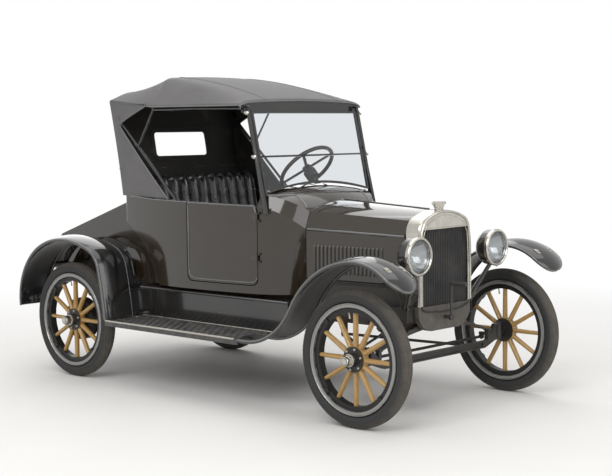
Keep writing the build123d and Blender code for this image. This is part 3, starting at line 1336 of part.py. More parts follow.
# Headlamps: a drum with a rim and a lens, on a post from the front of the frame
LAMP_X = RADIATOR_FRONT_X + 110.0
LAMP_Y = 369.0
LAMP_Z = FRAME_TOP_Z + 322.0
LAMP_R = 104.0
LAMP_RIM_R = 110.0
LAMP_DEEP = 120.0
RIM_DEEP = 22.0
LENS_R = 96.0
with BuildPart() as headlamps:
    for side in (-1, 1):
        centre = (LAMP_X, side * LAMP_Y, LAMP_Z)
        with BuildSketch(Plane(origin=centre, x_dir=(0, 0, 1), z_dir=(0, 1, 0))):
            with BuildLine():
                Polyline((0, -RIM_DEEP), (LAMP_R, -RIM_DEEP), (LAMP_R, -RIM_DEEP - 52))
                ThreePointArc(
                    (LAMP_R, -RIM_DEEP - 52), (LAMP_R - 26, -LAMP_DEEP + 12), (LAMP_R - 66, -LAMP_DEEP - 4)
                )
                Polyline((LAMP_R - 66, -LAMP_DEEP - 4), (0, -LAMP_DEEP - 4), (0, -RIM_DEEP))
            make_face()
            with BuildLine():
                Polyline((0, -RIM_DEEP), (LENS_R - 4, -RIM_DEEP), (LENS_R - 30, -RIM_DEEP - 55), (0, -RIM_DEEP - 78), (0, -RIM_DEEP))
            make_face(mode=Mode.SUBTRACT)
        revolve(axis=Axis(centre, (1, 0, 0)))
        # Post from the lamp down to a foot on the frame's front corner
        foot = (FRONT_AXLE_X + 20, side * (RAIL_Y - 22), FRAME_TOP_Z)
        rod(
            (LAMP_X - 50, side * (LAMP_Y - 4), LAMP_Z - 92),
            (foot[0], foot[1] + side * 8, foot[2] + 6),
            13.0,
        )
        block((foot[0] - 16, foot[1] - 14, foot[2]), (foot[0] + 16, foot[1] + 14, foot[2] + 12))
    block((0, -LONG, 0), (LONG, LONG, FRAME_TOP_Z), mode=Mode.SUBTRACT)
save(headlamps.part, "headlamps")

with BuildPart() as headlamp_rims:
    for side in (-1, 1):
        rod(
            (LAMP_X - RIM_DEEP, side * LAMP_Y, LAMP_Z),
            (LAMP_X, side * LAMP_Y, LAMP_Z),
            LAMP_RIM_R,
            LENS_R,
        )
save(headlamp_rims.part, "headlamp_rims")

with BuildPart() as headlamp_lenses:
    for side in (-1, 1):
        rod((LAMP_X - 14, side * LAMP_Y, LAMP_Z), (LAMP_X - 9, side * LAMP_Y, LAMP_Z), LENS_R)
save(headlamp_lenses.part, "headlamp_lenses")

# Running boards, with a raised edge, and splash aprons up to the frame
with BuildPart() as running_boards:
    for side in (-1, 1):
        cross_plate(
            (
                (side * BOARD_IN_Y, BOARD_BOTTOM_Z),
                (side * BOARD_OUT_Y, BOARD_BOTTOM_Z),
                (side * BOARD_OUT_Y, BOARD_TOP_Z),
                (side * BOARD_IN_Y, BOARD_TOP_Z),
            ),
            BOARD_REAR_X,
            BOARD_FRONT_X,
        )
        cross_plate(
            (
                (side * (BOARD_OUT_Y - 6), BOARD_BOTTOM_Z - 22),
                (side * BOARD_OUT_Y, BOARD_BOTTOM_Z - 22),
                (side * BOARD_OUT_Y, BOARD_BOTTOM_Z),
                (side * (BOARD_OUT_Y - 6), BOARD_BOTTOM_Z),
            ),
            BOARD_REAR_X,
            BOARD_FRONT_X,
        )
        # Rebate for the rear fender's foot
        low_y, high_y = sorted((side * (BOARD_IN_Y - 1), side * (BOARD_OUT_Y + 1)))
        block(
            (BOARD_REAR_X - 1, low_y, BOARD_TOP_Z - FOOT_REBATE),
            (BOARD_REAR_X + FOOT_LONG + 2, high_y, BOARD_TOP_Z + 1),
            mode=Mode.SUBTRACT,
        )
save(running_boards.part, "running_boards")

APRON_REAR_X = BOARD_REAR_X - 90.0
APRON_FRONT_X = FIREWALL_X
with BuildPart() as splash_aprons:
    for side in (-1, 1):
        cross_plate(
            (
                (side * (SILL_IN_Y + 4), FRAME_TOP_Z),
                (side * (SILL_IN_Y + 4), FRAME_TOP_Z + APRON_THICK),
                (side * (BOARD_IN_Y - 10), FRAME_TOP_Z + APRON_THICK),
                (side * BOARD_IN_Y, FRAME_TOP_Z - 12),
                (side * BOARD_IN_Y, BOARD_BOTTOM_Z + 1),
                (side * (BOARD_IN_Y - APRON_THICK), BOARD_BOTTOM_Z + 1),
                (side * (BOARD_IN_Y - APRON_THICK), FRAME_TOP_Z - 12),
                (side * (BOARD_IN_Y - 12), FRAME_TOP_Z),
            ),
            APRON_REAR_X,
            APRON_FRONT_X,
        )
save(splash_aprons.part, "splash_aprons")

# Fenders: a crowned section swept along tangent arcs beside each wheel
FENDER_SHEET = 4.0
FENDER_OUT_Y = BOARD_OUT_Y
FENDER_WIDE = 238.0
FENDER_CROWN = 22.0
FENDER_DROP = 10.0
FENDER_LIP = 16.0


def fender_section(plane, wide, crown, drop):
    """Sketch a fender's section: outer lip, crown, inner edge. Local X runs inward."""
    with BuildSketch(plane) as section:
        with BuildLine():
            Polyline((FENDER_SHEET, 0), (FENDER_SHEET, -FENDER_LIP), (0, -FENDER_LIP), (0, FENDER_SHEET))
            ThreePointArc((0, FENDER_SHEET), (wide / 2, crown + FENDER_SHEET), (wide, -drop + FENDER_SHEET))
            Line((wide, -drop + FENDER_SHEET), (wide, -drop))
            ThreePointArc((wide, -drop), (wide / 2, crown), (FENDER_SHEET, 0))
        make_face()
    return section.sketch


# Front fender's edge, from the running board up and over the wheel, about the front axle
FRONT_FENDER = ((-400.0, 258.0), (-206.0, 467.0), (50.0, 555.0), (383.0, 402.0))
# Rear fender's edge, forward and backward from its top, about the rear axle
REAR_FENDER_TOP = (23.0, 553.0)
REAR_FENDER_AHEAD = (
    (295.0, 502.0),
    (402.0, 380.0),
    (BOARD_REAR_X - REAR_AXLE_X, BOARD_TOP_Z - AXLE_Z + FENDER_SHEET / 2),
)
REAR_FENDER_BEHIND = ((-217.0, 503.0), (-400.0, 357.0), (-479.0, 66.0))


def edge_line(start, points, turn, x0, y, z0):
    """Tangent arcs from a start through each point, first heading as turned, in a plane of Y."""
    here = Vector(x0 + start[0], y, z0 + start[1])
    heading = Vector(*turn)
    edges = []
    for px, pz in points:
        there = Vector(x0 + px, y, z0 + pz)
        arc = TangentArc(here, there, tangent=heading, mode=Mode.PRIVATE)
        edges.append(arc)
        heading = arc % 1
        here = there
    return edges


def section_plane(start, side, normal):
    """The plane of a fender's section at its start: local X runs inward, local Y outward."""
    inward = Vector(0, -side, 0)
    return Plane(origin=start, x_dir=inward, z_dir=inward.cross(normal))


FENDER_FOOT = (BOARD_FRONT_X - FRONT_AXLE_X, BOARD_TOP_Z - AXLE_Z - FENDER_SHEET)
FENDER_FLAT = 60.0
# The front tip's rounding in plan: its radius, how far back its centre is, and the heights it cuts between
TIP_R = FENDER_WIDE / 2 + 3.0
TIP_X = FRONT_AXLE_X + FRONT_FENDER[-1][0] - 100.0
TIP_LOW = AXLE_Z + 300.0
TIP_TALL = 300.0
IRON_R = 8.0
# Where the front iron's pad meets the fender's underside, from the front axle
FRONT_IRON_AHEAD = 82.5
FRONT_IRON_UP = 556.4
with BuildPart() as front_fenders:
    for side in (-1, 1):
        flat_end = (FENDER_FOOT[0] + FENDER_FLAT, FENDER_FOOT[1])
        run = Line(
            (FRONT_AXLE_X + FENDER_FOOT[0], side * FENDER_OUT_Y, AXLE_Z + FENDER_FOOT[1]),
            (FRONT_AXLE_X + flat_end[0], side * FENDER_OUT_Y, AXLE_Z + flat_end[1]),
            mode=Mode.PRIVATE,
        )
        path = Wire(
            [run] + edge_line(flat_end, FRONT_FENDER, (1, 0, 0), FRONT_AXLE_X, side * FENDER_OUT_Y, AXLE_Z)
        )
        plane = section_plane(path @ 0, side, Vector(0, 0, 1))
        sweep(fender_section(plane, FENDER_WIDE, FENDER_CROWN, FENDER_DROP), path=path)
        with BuildSketch(Plane.XY.offset(TIP_LOW)) as corners:
            with Locations((TIP_X + TIP_R, side * (FENDER_OUT_Y - FENDER_WIDE / 2))):
                Rectangle(2 * TIP_R, FENDER_WIDE + 20)
            with Locations((TIP_X, side * (FENDER_OUT_Y - FENDER_WIDE / 2))):
                Circle(TIP_R, mode=Mode.SUBTRACT)
        extrude(corners.sketch, amount=TIP_TALL, mode=Mode.SUBTRACT)
        # Iron from a foot on the frame up to a pad in the fender's inner half
        foot_y = side * (RAIL_Y - 18)
        pad_z = AXLE_Z + FRONT_IRON_UP
        block(
            (FRONT_AXLE_X - 18, foot_y - 16, FRAME_TOP_Z),
            (FRONT_AXLE_X + 2, foot_y + 16, FRAME_TOP_Z + 12),
        )
        rod(
            (FRONT_AXLE_X - 8, foot_y, FRAME_TOP_Z + 6),
            (FRONT_AXLE_X + FRONT_IRON_AHEAD, side * (FENDER_OUT_Y - FENDER_WIDE + 24), pad_z - 9),
            IRON_R,
        )
        cross_plate(
            (
                (side * (FENDER_OUT_Y - FENDER_WIDE + 4), pad_z - 16),
                (side * (FENDER_OUT_Y - FENDER_WIDE + 4), pad_z - 6),
                (side * (FENDER_OUT_Y - FENDER_WIDE + 48), pad_z + 12),
                (side * (FENDER_OUT_Y - FENDER_WIDE + 48), pad_z + 2),
            ),
            FRONT_AXLE_X + FRONT_IRON_AHEAD - 12,
            FRONT_AXLE_X + FRONT_IRON_AHEAD + 12,
        )
save(front_fenders.part, "front_fenders")

# Straps of the rear fender: station, foot height, height of the strap
REAR_STRAPS = (
    (REAR_AXLE_X + 23.0, AXLE_Z + 540.0, 6.0),
    (REAR_AXLE_X - 384.0, AXLE_Z + 340.0, 14.0),
)
with BuildPart() as rear_fenders:
    for side in (-1, 1):
        back = edge_line(REAR_FENDER_TOP, REAR_FENDER_BEHIND, (-1, 0, 0), REAR_AXLE_X, side * FENDER_OUT_Y, AXLE_Z)
        ahead = edge_line(REAR_FENDER_TOP, REAR_FENDER_AHEAD, (1, 0, 0), REAR_AXLE_X, side * FENDER_OUT_Y, AXLE_Z)
        path = Wire(back + ahead)
        # The path's start is the foot ahead of the wheel, so outward there is across its heading
        heading = path % 0
        plane = section_plane(path @ 0, side, Vector(heading.Z, 0, -heading.X))
        sweep(fender_section(plane, FENDER_WIDE, FENDER_CROWN, FENDER_DROP), path=path)
        # Foot on the running board, and two straps across to the deck's side
        low_y, high_y = sorted((side * (FENDER_OUT_Y - 4), side * (FENDER_OUT_Y - FENDER_WIDE + 4)))
        block(
            (BOARD_REAR_X, low_y, BOARD_TOP_Z - FOOT_REBATE),
            (BOARD_REAR_X + FOOT_LONG, high_y, BOARD_TOP_Z + FOOT_THICK),
        )
        for x, z, tall in REAR_STRAPS:
            deck_y = deck_half(x + 12) + SEAT_GAP
            low_y, high_y = sorted((side * deck_y, side * (FENDER_OUT_Y - FENDER_WIDE + 10)))
            block((x - 12, low_y, z), (x + 12, high_y, z + tall))
save(rear_fenders.part, "rear_fenders")

# Seat: one cushion on the seat board and one back against the tub's rear wall
SEAT_HALF = HOUSE_IN_Y - SHEET - 6.0
CUSHION_THICK = 150.0
CUSHION_FRONT_X = SEAT_FRONT_X + 15.0
BACK_LOW_X = TUB_REAR_X + 235.0
BACK_TOP_Z = BODY_BOTTOM_Z + 682.0
CUSHION_Z = SEAT_BOARD_Z + SEAT_GAP
with BuildPart() as seat_cushion:
    side_plate(
        (
            (TUB_REAR_X + BODY_WALL + 6, CUSHION_Z),
            (CUSHION_FRONT_X, CUSHION_Z),
            (CUSHION_FRONT_X, CUSHION_Z + CUSHION_THICK),
            (TUB_REAR_X + BODY_WALL + 6, CUSHION_Z + CUSHION_THICK - 26),
        ),
        -SEAT_HALF,
        SEAT_HALF,
    )
    top_edges = seat_cushion.edges().group_by(Axis.Z)[-1] + seat_cushion.edges().filter_by(Axis.Z)
    fillet(top_edges, 22)
save(seat_cushion.part, "seat_cushion")

BACK_Z = CUSHION_Z + CUSHION_THICK + 1.0
with BuildPart() as seat_back:
    side_plate(
        (
            (TUB_REAR_X + BODY_WALL + SEAT_GAP, BACK_Z),
            (BACK_LOW_X, BACK_Z),
            (BACK_LOW_X - 62, BACK_TOP_Z),
            (TUB_REAR_X + 68, BACK_TOP_Z),
            (TUB_REAR_X + BODY_WALL + SEAT_GAP, BELT_REAR_Z + 4),
        ),
        -SEAT_HALF,
        SEAT_HALF,
    )
    fillet(seat_back.edges().filter_by(Axis.Y).sort_by(Axis.Z)[-2:], 24)
save(seat_back.part, "seat_back")

# Folding top, up: roof between three bows, quarters and rear curtain
CLOTH = 7.0
ROOF_HALF = 548.0
# Bows: station, eave height, shoulder half width, shoulder height, crown height (over body bottom)
BOWS = (
    (REAR_AXLE_X + 203.0, 1190.0, 420.0, 1244.0, 1276.0),
    (REAR_AXLE_X + 640.0, 1163.0, 420.0, 1346.0, 1362.0),
    (REAR_AXLE_X + 1472.0, 1163.0, 500.0, 1196.0, 1240.0),
)
CURTAIN_FOOT_X = TUB_REAR_X + CLOTH + 2.0
CURTAIN_FOOT_Z = BELT_REAR_Z + SEAT_GAP
FLAP_CORNER = (REAR_AXLE_X + 303.0, BODY_BOTTOM_Z + 1044.0)
PIVOT = (REAR_AXLE_X + 845.0, BODY_BOTTOM_Z + 511.0)
WINDOW_HALF = 230.0


def roof_face(x, eave, shoulder, shoulder_top, crown, inset, low):
    """Sketch the roof's section at a bow, drawn in by an inset, its eaves let down by a drop."""
    half = ROOF_HALF - inset
    with BuildSketch(Plane.YZ.offset(x)) as section:
        with BuildLine():
            Polyline(
                (-shoulder + inset * 0.6, BODY_BOTTOM_Z + shoulder_top - inset),
                (-half, BODY_BOTTOM_Z + eave),
                (-half, BODY_BOTTOM_Z + low),
                (half, BODY_BOTTOM_Z + low),
                (half, BODY_BOTTOM_Z + eave),
                (shoulder - inset * 0.6, BODY_BOTTOM_Z + shoulder_top - inset),
            )
            ThreePointArc(
                (shoulder - inset * 0.6, BODY_BOTTOM_Z + shoulder_top - inset),
                (0, BODY_BOTTOM_Z + crown - inset),
                (-shoulder + inset * 0.6, BODY_BOTTOM_Z + shoulder_top - inset),
            )
        make_face()
    return section.sketch


EAVE_DROP = 20.0
with BuildPart() as top_cover:
    loft([roof_face(*bow, 0, bow[1] - EAVE_DROP) for bow in BOWS], ruled=True)
    # The hollow starts a cloth's thickness ahead of the rear bow, so that the gable is closed
    hollow = [(BOWS[0][0] + CLOTH, *BOWS[0][1:]), *BOWS[1:]]
    loft([roof_face(*bow, CLOTH, bow[1] - EAVE_DROP - 10) for bow in hollow], ruled=True, mode=Mode.SUBTRACT)
    # Rear curtain, from the rear bow down over the tub's rim, with its window cut
    rear_x, rear_eave = BOWS[0][:2]
    rear_top_z = BODY_BOTTOM_Z + rear_eave
    side_plate(
        (
            (rear_x, rear_top_z),
            (CURTAIN_FOOT_X - CLOTH, CURTAIN_FOOT_Z),
            (CURTAIN_FOOT_X, CURTAIN_FOOT_Z),
            (rear_x + CLOTH, rear_top_z),
        ),
        -ROOF_HALF,
        ROOF_HALF,
    )
    # Side flaps behind the slanted bow
    for side in (-1, 1):
        low_y, high_y = sorted((side * ROOF_HALF, side * (ROOF_HALF - CLOTH)))
        side_plate(
            (
                (rear_x, rear_top_z + 2),
                (CURTAIN_FOOT_X - CLOTH, CURTAIN_FOOT_Z),
                (PIVOT[0] - 60, BELT_Z + 8),
                FLAP_CORNER,
                (rear_x + 100, rear_top_z - 22),
                (rear_x + 250, rear_top_z - 22),
            ),
            low_y,
            high_y,
        )
    block(
        (rear_x - 50, -WINDOW_HALF, BODY_BOTTOM_Z + 820),
        (CURTAIN_FOOT_X + 100, WINDOW_HALF, BODY_BOTTOM_Z + 1000),
        mode=Mode.SUBTRACT,
    )
save(top_cover.part, "top_cover")

# Bows: sockets fanned from a pivot on each side, and three bows across under the cloth
BOW_R = 9.0
SOCKET_Y = ROOF_HALF - CLOTH - BOW_R - 1.0
BOW_DROP = CLOTH + BOW_R


def bow_points(bow, under):
    """The corners of one bow across the car, a little under the cloth."""
    x, eave, shoulder, shoulder_top, crown = bow
    z = BODY_BOTTOM_Z - under
    return (
        (x, -SOCKET_Y, z + eave - 25),
        (x, -SOCKET_Y, z + eave - 4),
        (x, -shoulder + 16, z + shoulder_top),
        (x, -shoulder / 2, z + shoulder_top + (crown - shoulder_top) * 0.72),
        (x, 0, z + crown - 2),
        (x, shoulder / 2, z + shoulder_top + (crown - shoulder_top) * 0.72),
        (x, shoulder - 16, z + shoulder_top),
        (x, SOCKET_Y, z + eave - 4),
        (x, SOCKET_Y, z + eave - 25),
    )


def bent_bar(points, radius):
    """Add a bar through points, with a ball at each bend."""
    for start, end in zip(points, points[1:]):
        rod(start, end, radius)
    for bend in points[1:-1]:
        with Locations(bend):
            Sphere(radius)


with BuildPart() as top_bows:
    rear, middle, front = BOWS
    bent_bar(bow_points((rear[0] + 26, *rear[1:]), BOW_DROP), BOW_R)
    bent_bar(bow_points(middle, BOW_DROP), BOW_R)
    bent_bar(bow_points((front[0] - 14, *front[1:]), BOW_DROP), BOW_R)
    for side in (-1, 1):
        pivot = (PIVOT[0], side * SOCKET_Y, PIVOT[1] + 50)
        elbow = (FLAP_CORNER[0] + 24, side * SOCKET_Y, FLAP_CORNER[1])
        rear_eave = (rear[0] + 26, side * SOCKET_Y, BODY_BOTTOM_Z + rear[1] - BOW_DROP - 20)
        middle_eave = (middle[0], side * SOCKET_Y, BODY_BOTTOM_Z + middle[1] - BOW_DROP - 20)
        front_eave = (front[0] - 14, side * SOCKET_Y, BODY_BOTTOM_Z + front[1] - BOW_DROP - 20)
        bent_bar((pivot, elbow, rear_eave), BOW_R)
        rod(along(pivot, elbow, 0.70), middle_eave, BOW_R - 2)
        rod(along(pivot, elbow, 0.70), along(pivot, elbow, 0.74), BOW_R + 3)
        rod(middle_eave, front_eave, BOW_R - 2)
        # Pivot block on the tub's rim, and the front bow's shoe on the windshield post
        low_y, high_y = sorted((side * (SOCKET_Y - 3), side * (SOCKET_Y + 25)))
        block((PIVOT[0] - 18, low_y, BELT_Z + 3), (PIVOT[0] + 18, high_y, PIVOT[1] + 56))
        low_y, high_y = sorted((side * (POST_IN_Y + 2), side * (POST_OUT_Y - 2)))
        shoe_x, shoe_z = shield(POST_HIGH, POST_DEEP / 2)
        block((front[0] - 20, low_y, shoe_z + SEAT_GAP), (shoe_x, high_y, shoe_z + 14))
save(top_bows.part, "top_bows")
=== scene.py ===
"""Looks for a 1920s two-seat runabout with its folding top up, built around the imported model."""

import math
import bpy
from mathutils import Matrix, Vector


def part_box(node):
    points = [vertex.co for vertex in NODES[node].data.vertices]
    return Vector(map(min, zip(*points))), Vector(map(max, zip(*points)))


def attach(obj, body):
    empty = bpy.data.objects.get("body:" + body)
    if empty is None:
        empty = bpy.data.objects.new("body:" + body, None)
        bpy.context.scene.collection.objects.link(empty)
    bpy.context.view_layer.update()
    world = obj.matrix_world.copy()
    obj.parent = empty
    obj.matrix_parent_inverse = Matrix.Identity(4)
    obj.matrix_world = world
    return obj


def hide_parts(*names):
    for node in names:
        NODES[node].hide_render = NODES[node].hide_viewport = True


bl_info = {
    "name": "Runabout Looks",
    "version": (1, 0, 0),
    "blender": (4, 5, 0),
    "location": "View3D > Sidebar > Runabout",
    "description": "Paints the runabout's metal and adds its tyres, top, seat, trim and studio",
    "category": "Object",
}

import bmesh
import bpy
from mathutils import Matrix, Vector
from mathutils.bvhtree import BVHTree

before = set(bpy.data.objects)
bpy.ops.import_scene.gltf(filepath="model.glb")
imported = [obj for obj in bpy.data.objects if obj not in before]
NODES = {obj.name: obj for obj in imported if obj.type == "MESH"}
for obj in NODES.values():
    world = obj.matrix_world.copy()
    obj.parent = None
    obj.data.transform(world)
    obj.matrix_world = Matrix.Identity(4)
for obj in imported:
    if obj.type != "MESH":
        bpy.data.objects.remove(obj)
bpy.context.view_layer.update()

# Places read from the frame, in metres: X forward, Y left, Z up
SIDES = (("right", -1), ("left", 1))
CORNERS = tuple(f"{end}_{side}" for end in ("front", "rear") for side in ("right", "left"))


def middle(node):
    """The centre of a CAD node's box."""
    low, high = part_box(node)
    return (low + high) / 2


WHEEL_CENTRES = {corner: middle(f"tyre_{corner}") for corner in CORNERS}
FRONT_X = WHEEL_CENTRES["front_right"].x
REAR_X = WHEEL_CENTRES["rear_right"].x
AXLE_Z = WHEEL_CENTRES["rear_right"].z
TYRE_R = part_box("tyre_rear_right")[1].z - AXLE_Z
BODY_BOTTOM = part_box("body_tub")[0].z
FRAME_TOP = BODY_BOTTOM - 0.035
BOARD_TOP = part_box("running_boards")[1].z
BOARD_IN = 0.492


def length(label, text, value):
    """A length in metres that a user can change."""
    return bpy.props.FloatProperty(name=label, description=text, default=value, unit="LENGTH")


def number(label, text, value, least):
    """A whole number that a user can change."""
    return bpy.props.IntProperty(name=label, description=text, default=value, min=least)


class RunaboutSizes(bpy.types.PropertyGroup):
    """Sizes of the trim and soft pieces."""

    tread_depth: length("Tread Depth", "Depth of the tyres' grooves", 0.003)
    tread_blocks: number("Tread Blocks", "Shoulder blocks round each tyre", 84, 12)
    fender_sheet: length("Fender Sheet", "Thickness of the fenders' metal", 0.003)
    bead_radius: length("Fender Bead", "Radius of the wired edge of a fender", 0.0060)
    louver_count: number("Louvers", "Louvers in each hood side", 18, 1)
    louver_stand: length("Louver Stand", "How far a louver stands out", 0.011)
    core_fins: number("Core Tubes", "Upright tubes across the radiator core", 26, 2)
    step_ribs: number("Step Ribs", "Ribs along each running board", 15, 1)
    pleats: number("Pleats", "Pleats across the seat", 11, 2)
    pleat_rise: length("Pleat Rise", "How far a pleat stands over its seams", 0.026)
    cloth_thickness: length("Cloth Thickness", "Thickness of the folding top's cloth", 0.003)
    binding_radius: length("Binding", "Radius of the cloth's bound edges", 0.0045)


def colour_property(label, text, value):
    """A linear colour that a user can change."""
    return bpy.props.FloatVectorProperty(
        name=label, description=text, subtype="COLOR", size=3, min=0.0, max=1.0, default=value
    )


class RunaboutColours(bpy.types.PropertyGroup):
    """Colours of the finishes."""

    body: colour_property("Body", "Enamel of the tub, hood and deck", (0.017, 0.0113, 0.0052))
    fender: colour_property("Fenders", "Enamel of the fenders and the lamps", (0.010, 0.010, 0.011))
    chassis: colour_property("Chassis", "Paint of the frame and axles", (0.016, 0.016, 0.016))
    oak: colour_property("Spokes", "Varnished wood of the wheels", (0.43, 0.265, 0.085))
    dark_oak: colour_property("Spoke Grain", "Dark grain of the wheels' wood", (0.25, 0.125, 0.036))
    rim: colour_property("Rims", "Zinc of the demountable rims", (0.33, 0.33, 0.32))
    rubber: colour_property("Tyres", "Rubber of the tyres", (0.030, 0.030, 0.031))
    nickel: colour_property("Nickel", "Plated brightwork", (0.58, 0.56, 0.51))
    cloth: colour_property("Top", "Outer face of the folding top", (0.130, 0.126, 0.128))
    lining: colour_property("Lining", "Inner face of the folding top", (0.020, 0.018, 0.016))
    leather: colour_property("Seat", "Leather of the seat", (0.010, 0.010, 0.011))
    floor: colour_property("Floor", "The studio's floor", (0.80, 0.79, 0.77))


def sizes():
    """The sizes in use."""
    return bpy.context.scene.runabout_sizes


def colours():
    """The colours in use."""
    return bpy.context.scene.runabout_colours


# Node helpers for the materials


class Nodes:
    """A node tree being built."""

    def __init__(self, tree):
        self.tree = tree

    def link(self, start, end):
        """Join an output to an input."""
        self.tree.links.new(start, end)

    def node(self, kind, **settings):
        """A new node with its settings."""
        made = self.tree.nodes.new(kind)
        for setting, value in settings.items():
            setattr(made, setting, value)
        return made

    def math(self, operation, first, second=0.0):
        """One arithmetic node on two sockets or numbers."""
        made = self.node("ShaderNodeMath", operation=operation)
        for place, value in enumerate((first, second)):
            if isinstance(value, (int, float)):
                made.inputs[place].default_value = value
            else:
                self.link(value, made.inputs[place])
        return made.outputs[0]

    def span(self, factor, low, high, start=0.3, end=0.7):
        """Map a factor's middle range to values from low to high."""
        made = self.node("ShaderNodeMapRange")
        made.inputs["From Min"].default_value = start
        made.inputs["From Max"].default_value = end
        made.inputs["To Min"].default_value = low
        made.inputs["To Max"].default_value = high
        self.link(factor, made.inputs["Value"])
        return made.outputs["Result"]


class Finish(Nodes):
    """A material being built on its Principled shader, in object coordinates."""

    def __init__(self, name, **values):
        self.material = bpy.data.materials.new(name)
        self.material.use_nodes = True
        super().__init__(self.material.node_tree)
        self.shader = self.tree.nodes["Principled BSDF"]
        for socket, value in values.items():
            self.shader.inputs[socket.replace("_", " ")].default_value = value
        self.coordinates = self.node("ShaderNodeTexCoord").outputs["Object"]

    def stretched(self, scale):
        """Object coordinates, scaled."""
        mapping = self.node("ShaderNodeMapping")
        mapping.inputs["Scale"].default_value = scale
        self.link(self.coordinates, mapping.inputs["Vector"])
        return mapping.outputs["Vector"]

    def noise(self, scale, detail=5.0, vector=None, rough=0.55):
        """Fractal noise from 0 to 1."""
        texture = self.node("ShaderNodeTexNoise")
        texture.inputs["Scale"].default_value = scale
        texture.inputs["Detail"].default_value = detail
        texture.inputs["Roughness"].default_value = rough
        self.link(vector or self.coordinates, texture.inputs["Vector"])
        return texture.outputs["Fac"]

    def cells(self, scale):
        """Distance inside Voronoi cells."""
        texture = self.node("ShaderNodeTexVoronoi")
        texture.inputs["Scale"].default_value = scale
        self.link(self.coordinates, texture.inputs["Vector"])
        return texture.outputs["Distance"]

    def ramp(self, factor, *stops):
        """A colour ramp through (place, colour) stops."""
        made = self.node("ShaderNodeValToRGB")
        band = made.color_ramp
        band.elements.remove(band.elements[1])
        band.elements[0].position = stops[0][0]
        band.elements[0].color = (*stops[0][1], 1.0)
        for place, colour in stops[1:]:
            band.elements.new(place).color = (*colour, 1.0)
        self.link(factor, made.inputs["Fac"])
        return made.outputs["Color"]

    def colour_from(self, factor, *stops):
        """Take the base colour from a ramp."""
        self.link(self.ramp(factor, *stops), self.shader.inputs["Base Color"])

    def roughness_from(self, factor, low, high, start=0.3, end=0.7):
        """Let the roughness vary with a factor."""
        self.link(self.span(factor, low, high, start, end), self.shader.inputs["Roughness"])

    def bump(self, height, strength, distance):
        """Raise the surface by a height, in metres at full strength."""
        made = self.node("ShaderNodeBump")
        made.inputs["Strength"].default_value = strength
        made.inputs["Distance"].default_value = distance
        self.link(height, made.inputs["Height"])
        earlier = self.shader.inputs["Normal"].links
        if earlier:
            self.link(earlier[0].from_socket, made.inputs["Normal"])
        self.link(made.outputs["Normal"], self.shader.inputs["Normal"])

    def radius_about(self, centre):
        """Distance from an axle line through a centre, the turn about it, and the place across."""
        parts = self.node("ShaderNodeSeparateXYZ")
        self.link(self.coordinates, parts.inputs["Vector"])
        across = self.math("SUBTRACT", parts.outputs["X"], centre.x)
        up = self.math("SUBTRACT", parts.outputs["Z"], centre.z)
        squares = self.math("ADD", self.math("POWER", across, 2.0), self.math("POWER", up, 2.0))
        return self.math("SQRT", squares), self.math("ARCTAN2", up, across), parts.outputs["Y"]


def blended(colour, other, share):
    """A colour part of the way to another."""
    return tuple(a + (b - a) * share for a, b in zip(colour, other))


DUST = (0.16, 0.14, 0.11)
TARNISH = (0.30, 0.27, 0.22)
BLACK = (0.0, 0.0, 0.0)
RIM_BROWNS = (0.018, 0.010, 0.007), (0.050, 0.026, 0.015)
# Height from which the radiator's shell is plated, and the radius of a wheel's rim, in metres
SHELL_PLATED_FROM = 0.634
RIM_R = 0.32


def enamel(name, colour, gloss=0.10, dust=0.25):
    """Deep glossy paint with faint dust and polish marks."""
    made = Finish(
        name, Roughness=gloss, Specular_IOR_Level=0.5, Coat_Weight=0.55, Coat_Roughness=0.05
    )
    cloud = made.noise(3.2, 8.0)
    speck = made.noise(55.0, 4.0)
    made.colour_from(cloud, (0.30, colour), (0.78, blended(colour, DUST, dust * 0.35)))
    made.roughness_from(speck, gloss * 0.8, gloss * 1.9)
    made.bump(made.noise(14.0, 3.0), 0.05, 0.004)
    return made.material


def chassis_paint(name, colour):
    """Satin black paint, dusty and chipped."""
    made = Finish(name, Roughness=0.45, Specular_IOR_Level=0.45)
    grime = made.noise(9.0, 9.0)
    grey, dusty = blended(colour, DUST, 0.18), blended(colour, DUST, 0.45)
    made.colour_from(grime, (0.35, colour), (0.60, grey), (0.80, dusty))
    made.roughness_from(grime, 0.34, 0.72)
    made.bump(made.noise(160.0, 5.0), 0.25, 0.001)
    return made.material


def cast_metal(name, colour, rust=(0.10, 0.045, 0.022)):
    """Rough cast iron with some rust."""
    made = Finish(name, Roughness=0.62, Metallic=0.55)
    grime = made.noise(11.0, 9.0)
    made.colour_from(grime, (0.35, colour), (0.68, blended(colour, rust, 0.7)))
    made.roughness_from(grime, 0.5, 0.85)
    made.bump(made.noise(240.0, 4.0), 0.45, 0.0012)
    return made.material


def tarnished(colour):
    """The stops of a plated colour's haze."""
    return (0.25, colour), (0.80, blended(colour, TARNISH, 0.45))


def plating(name, colour, roughness=0.14):
    """Polished nickel with a hazy tarnish."""
    made = Finish(name, Metallic=1.0, Roughness=roughness)
    haze = made.noise(17.0, 7.0)
    made.colour_from(haze, *tarnished(colour))
    made.roughness_from(haze, roughness * 0.7, roughness * 2.1)
    made.bump(made.noise(60.0, 3.0), 0.04, 0.001)
    return made.material


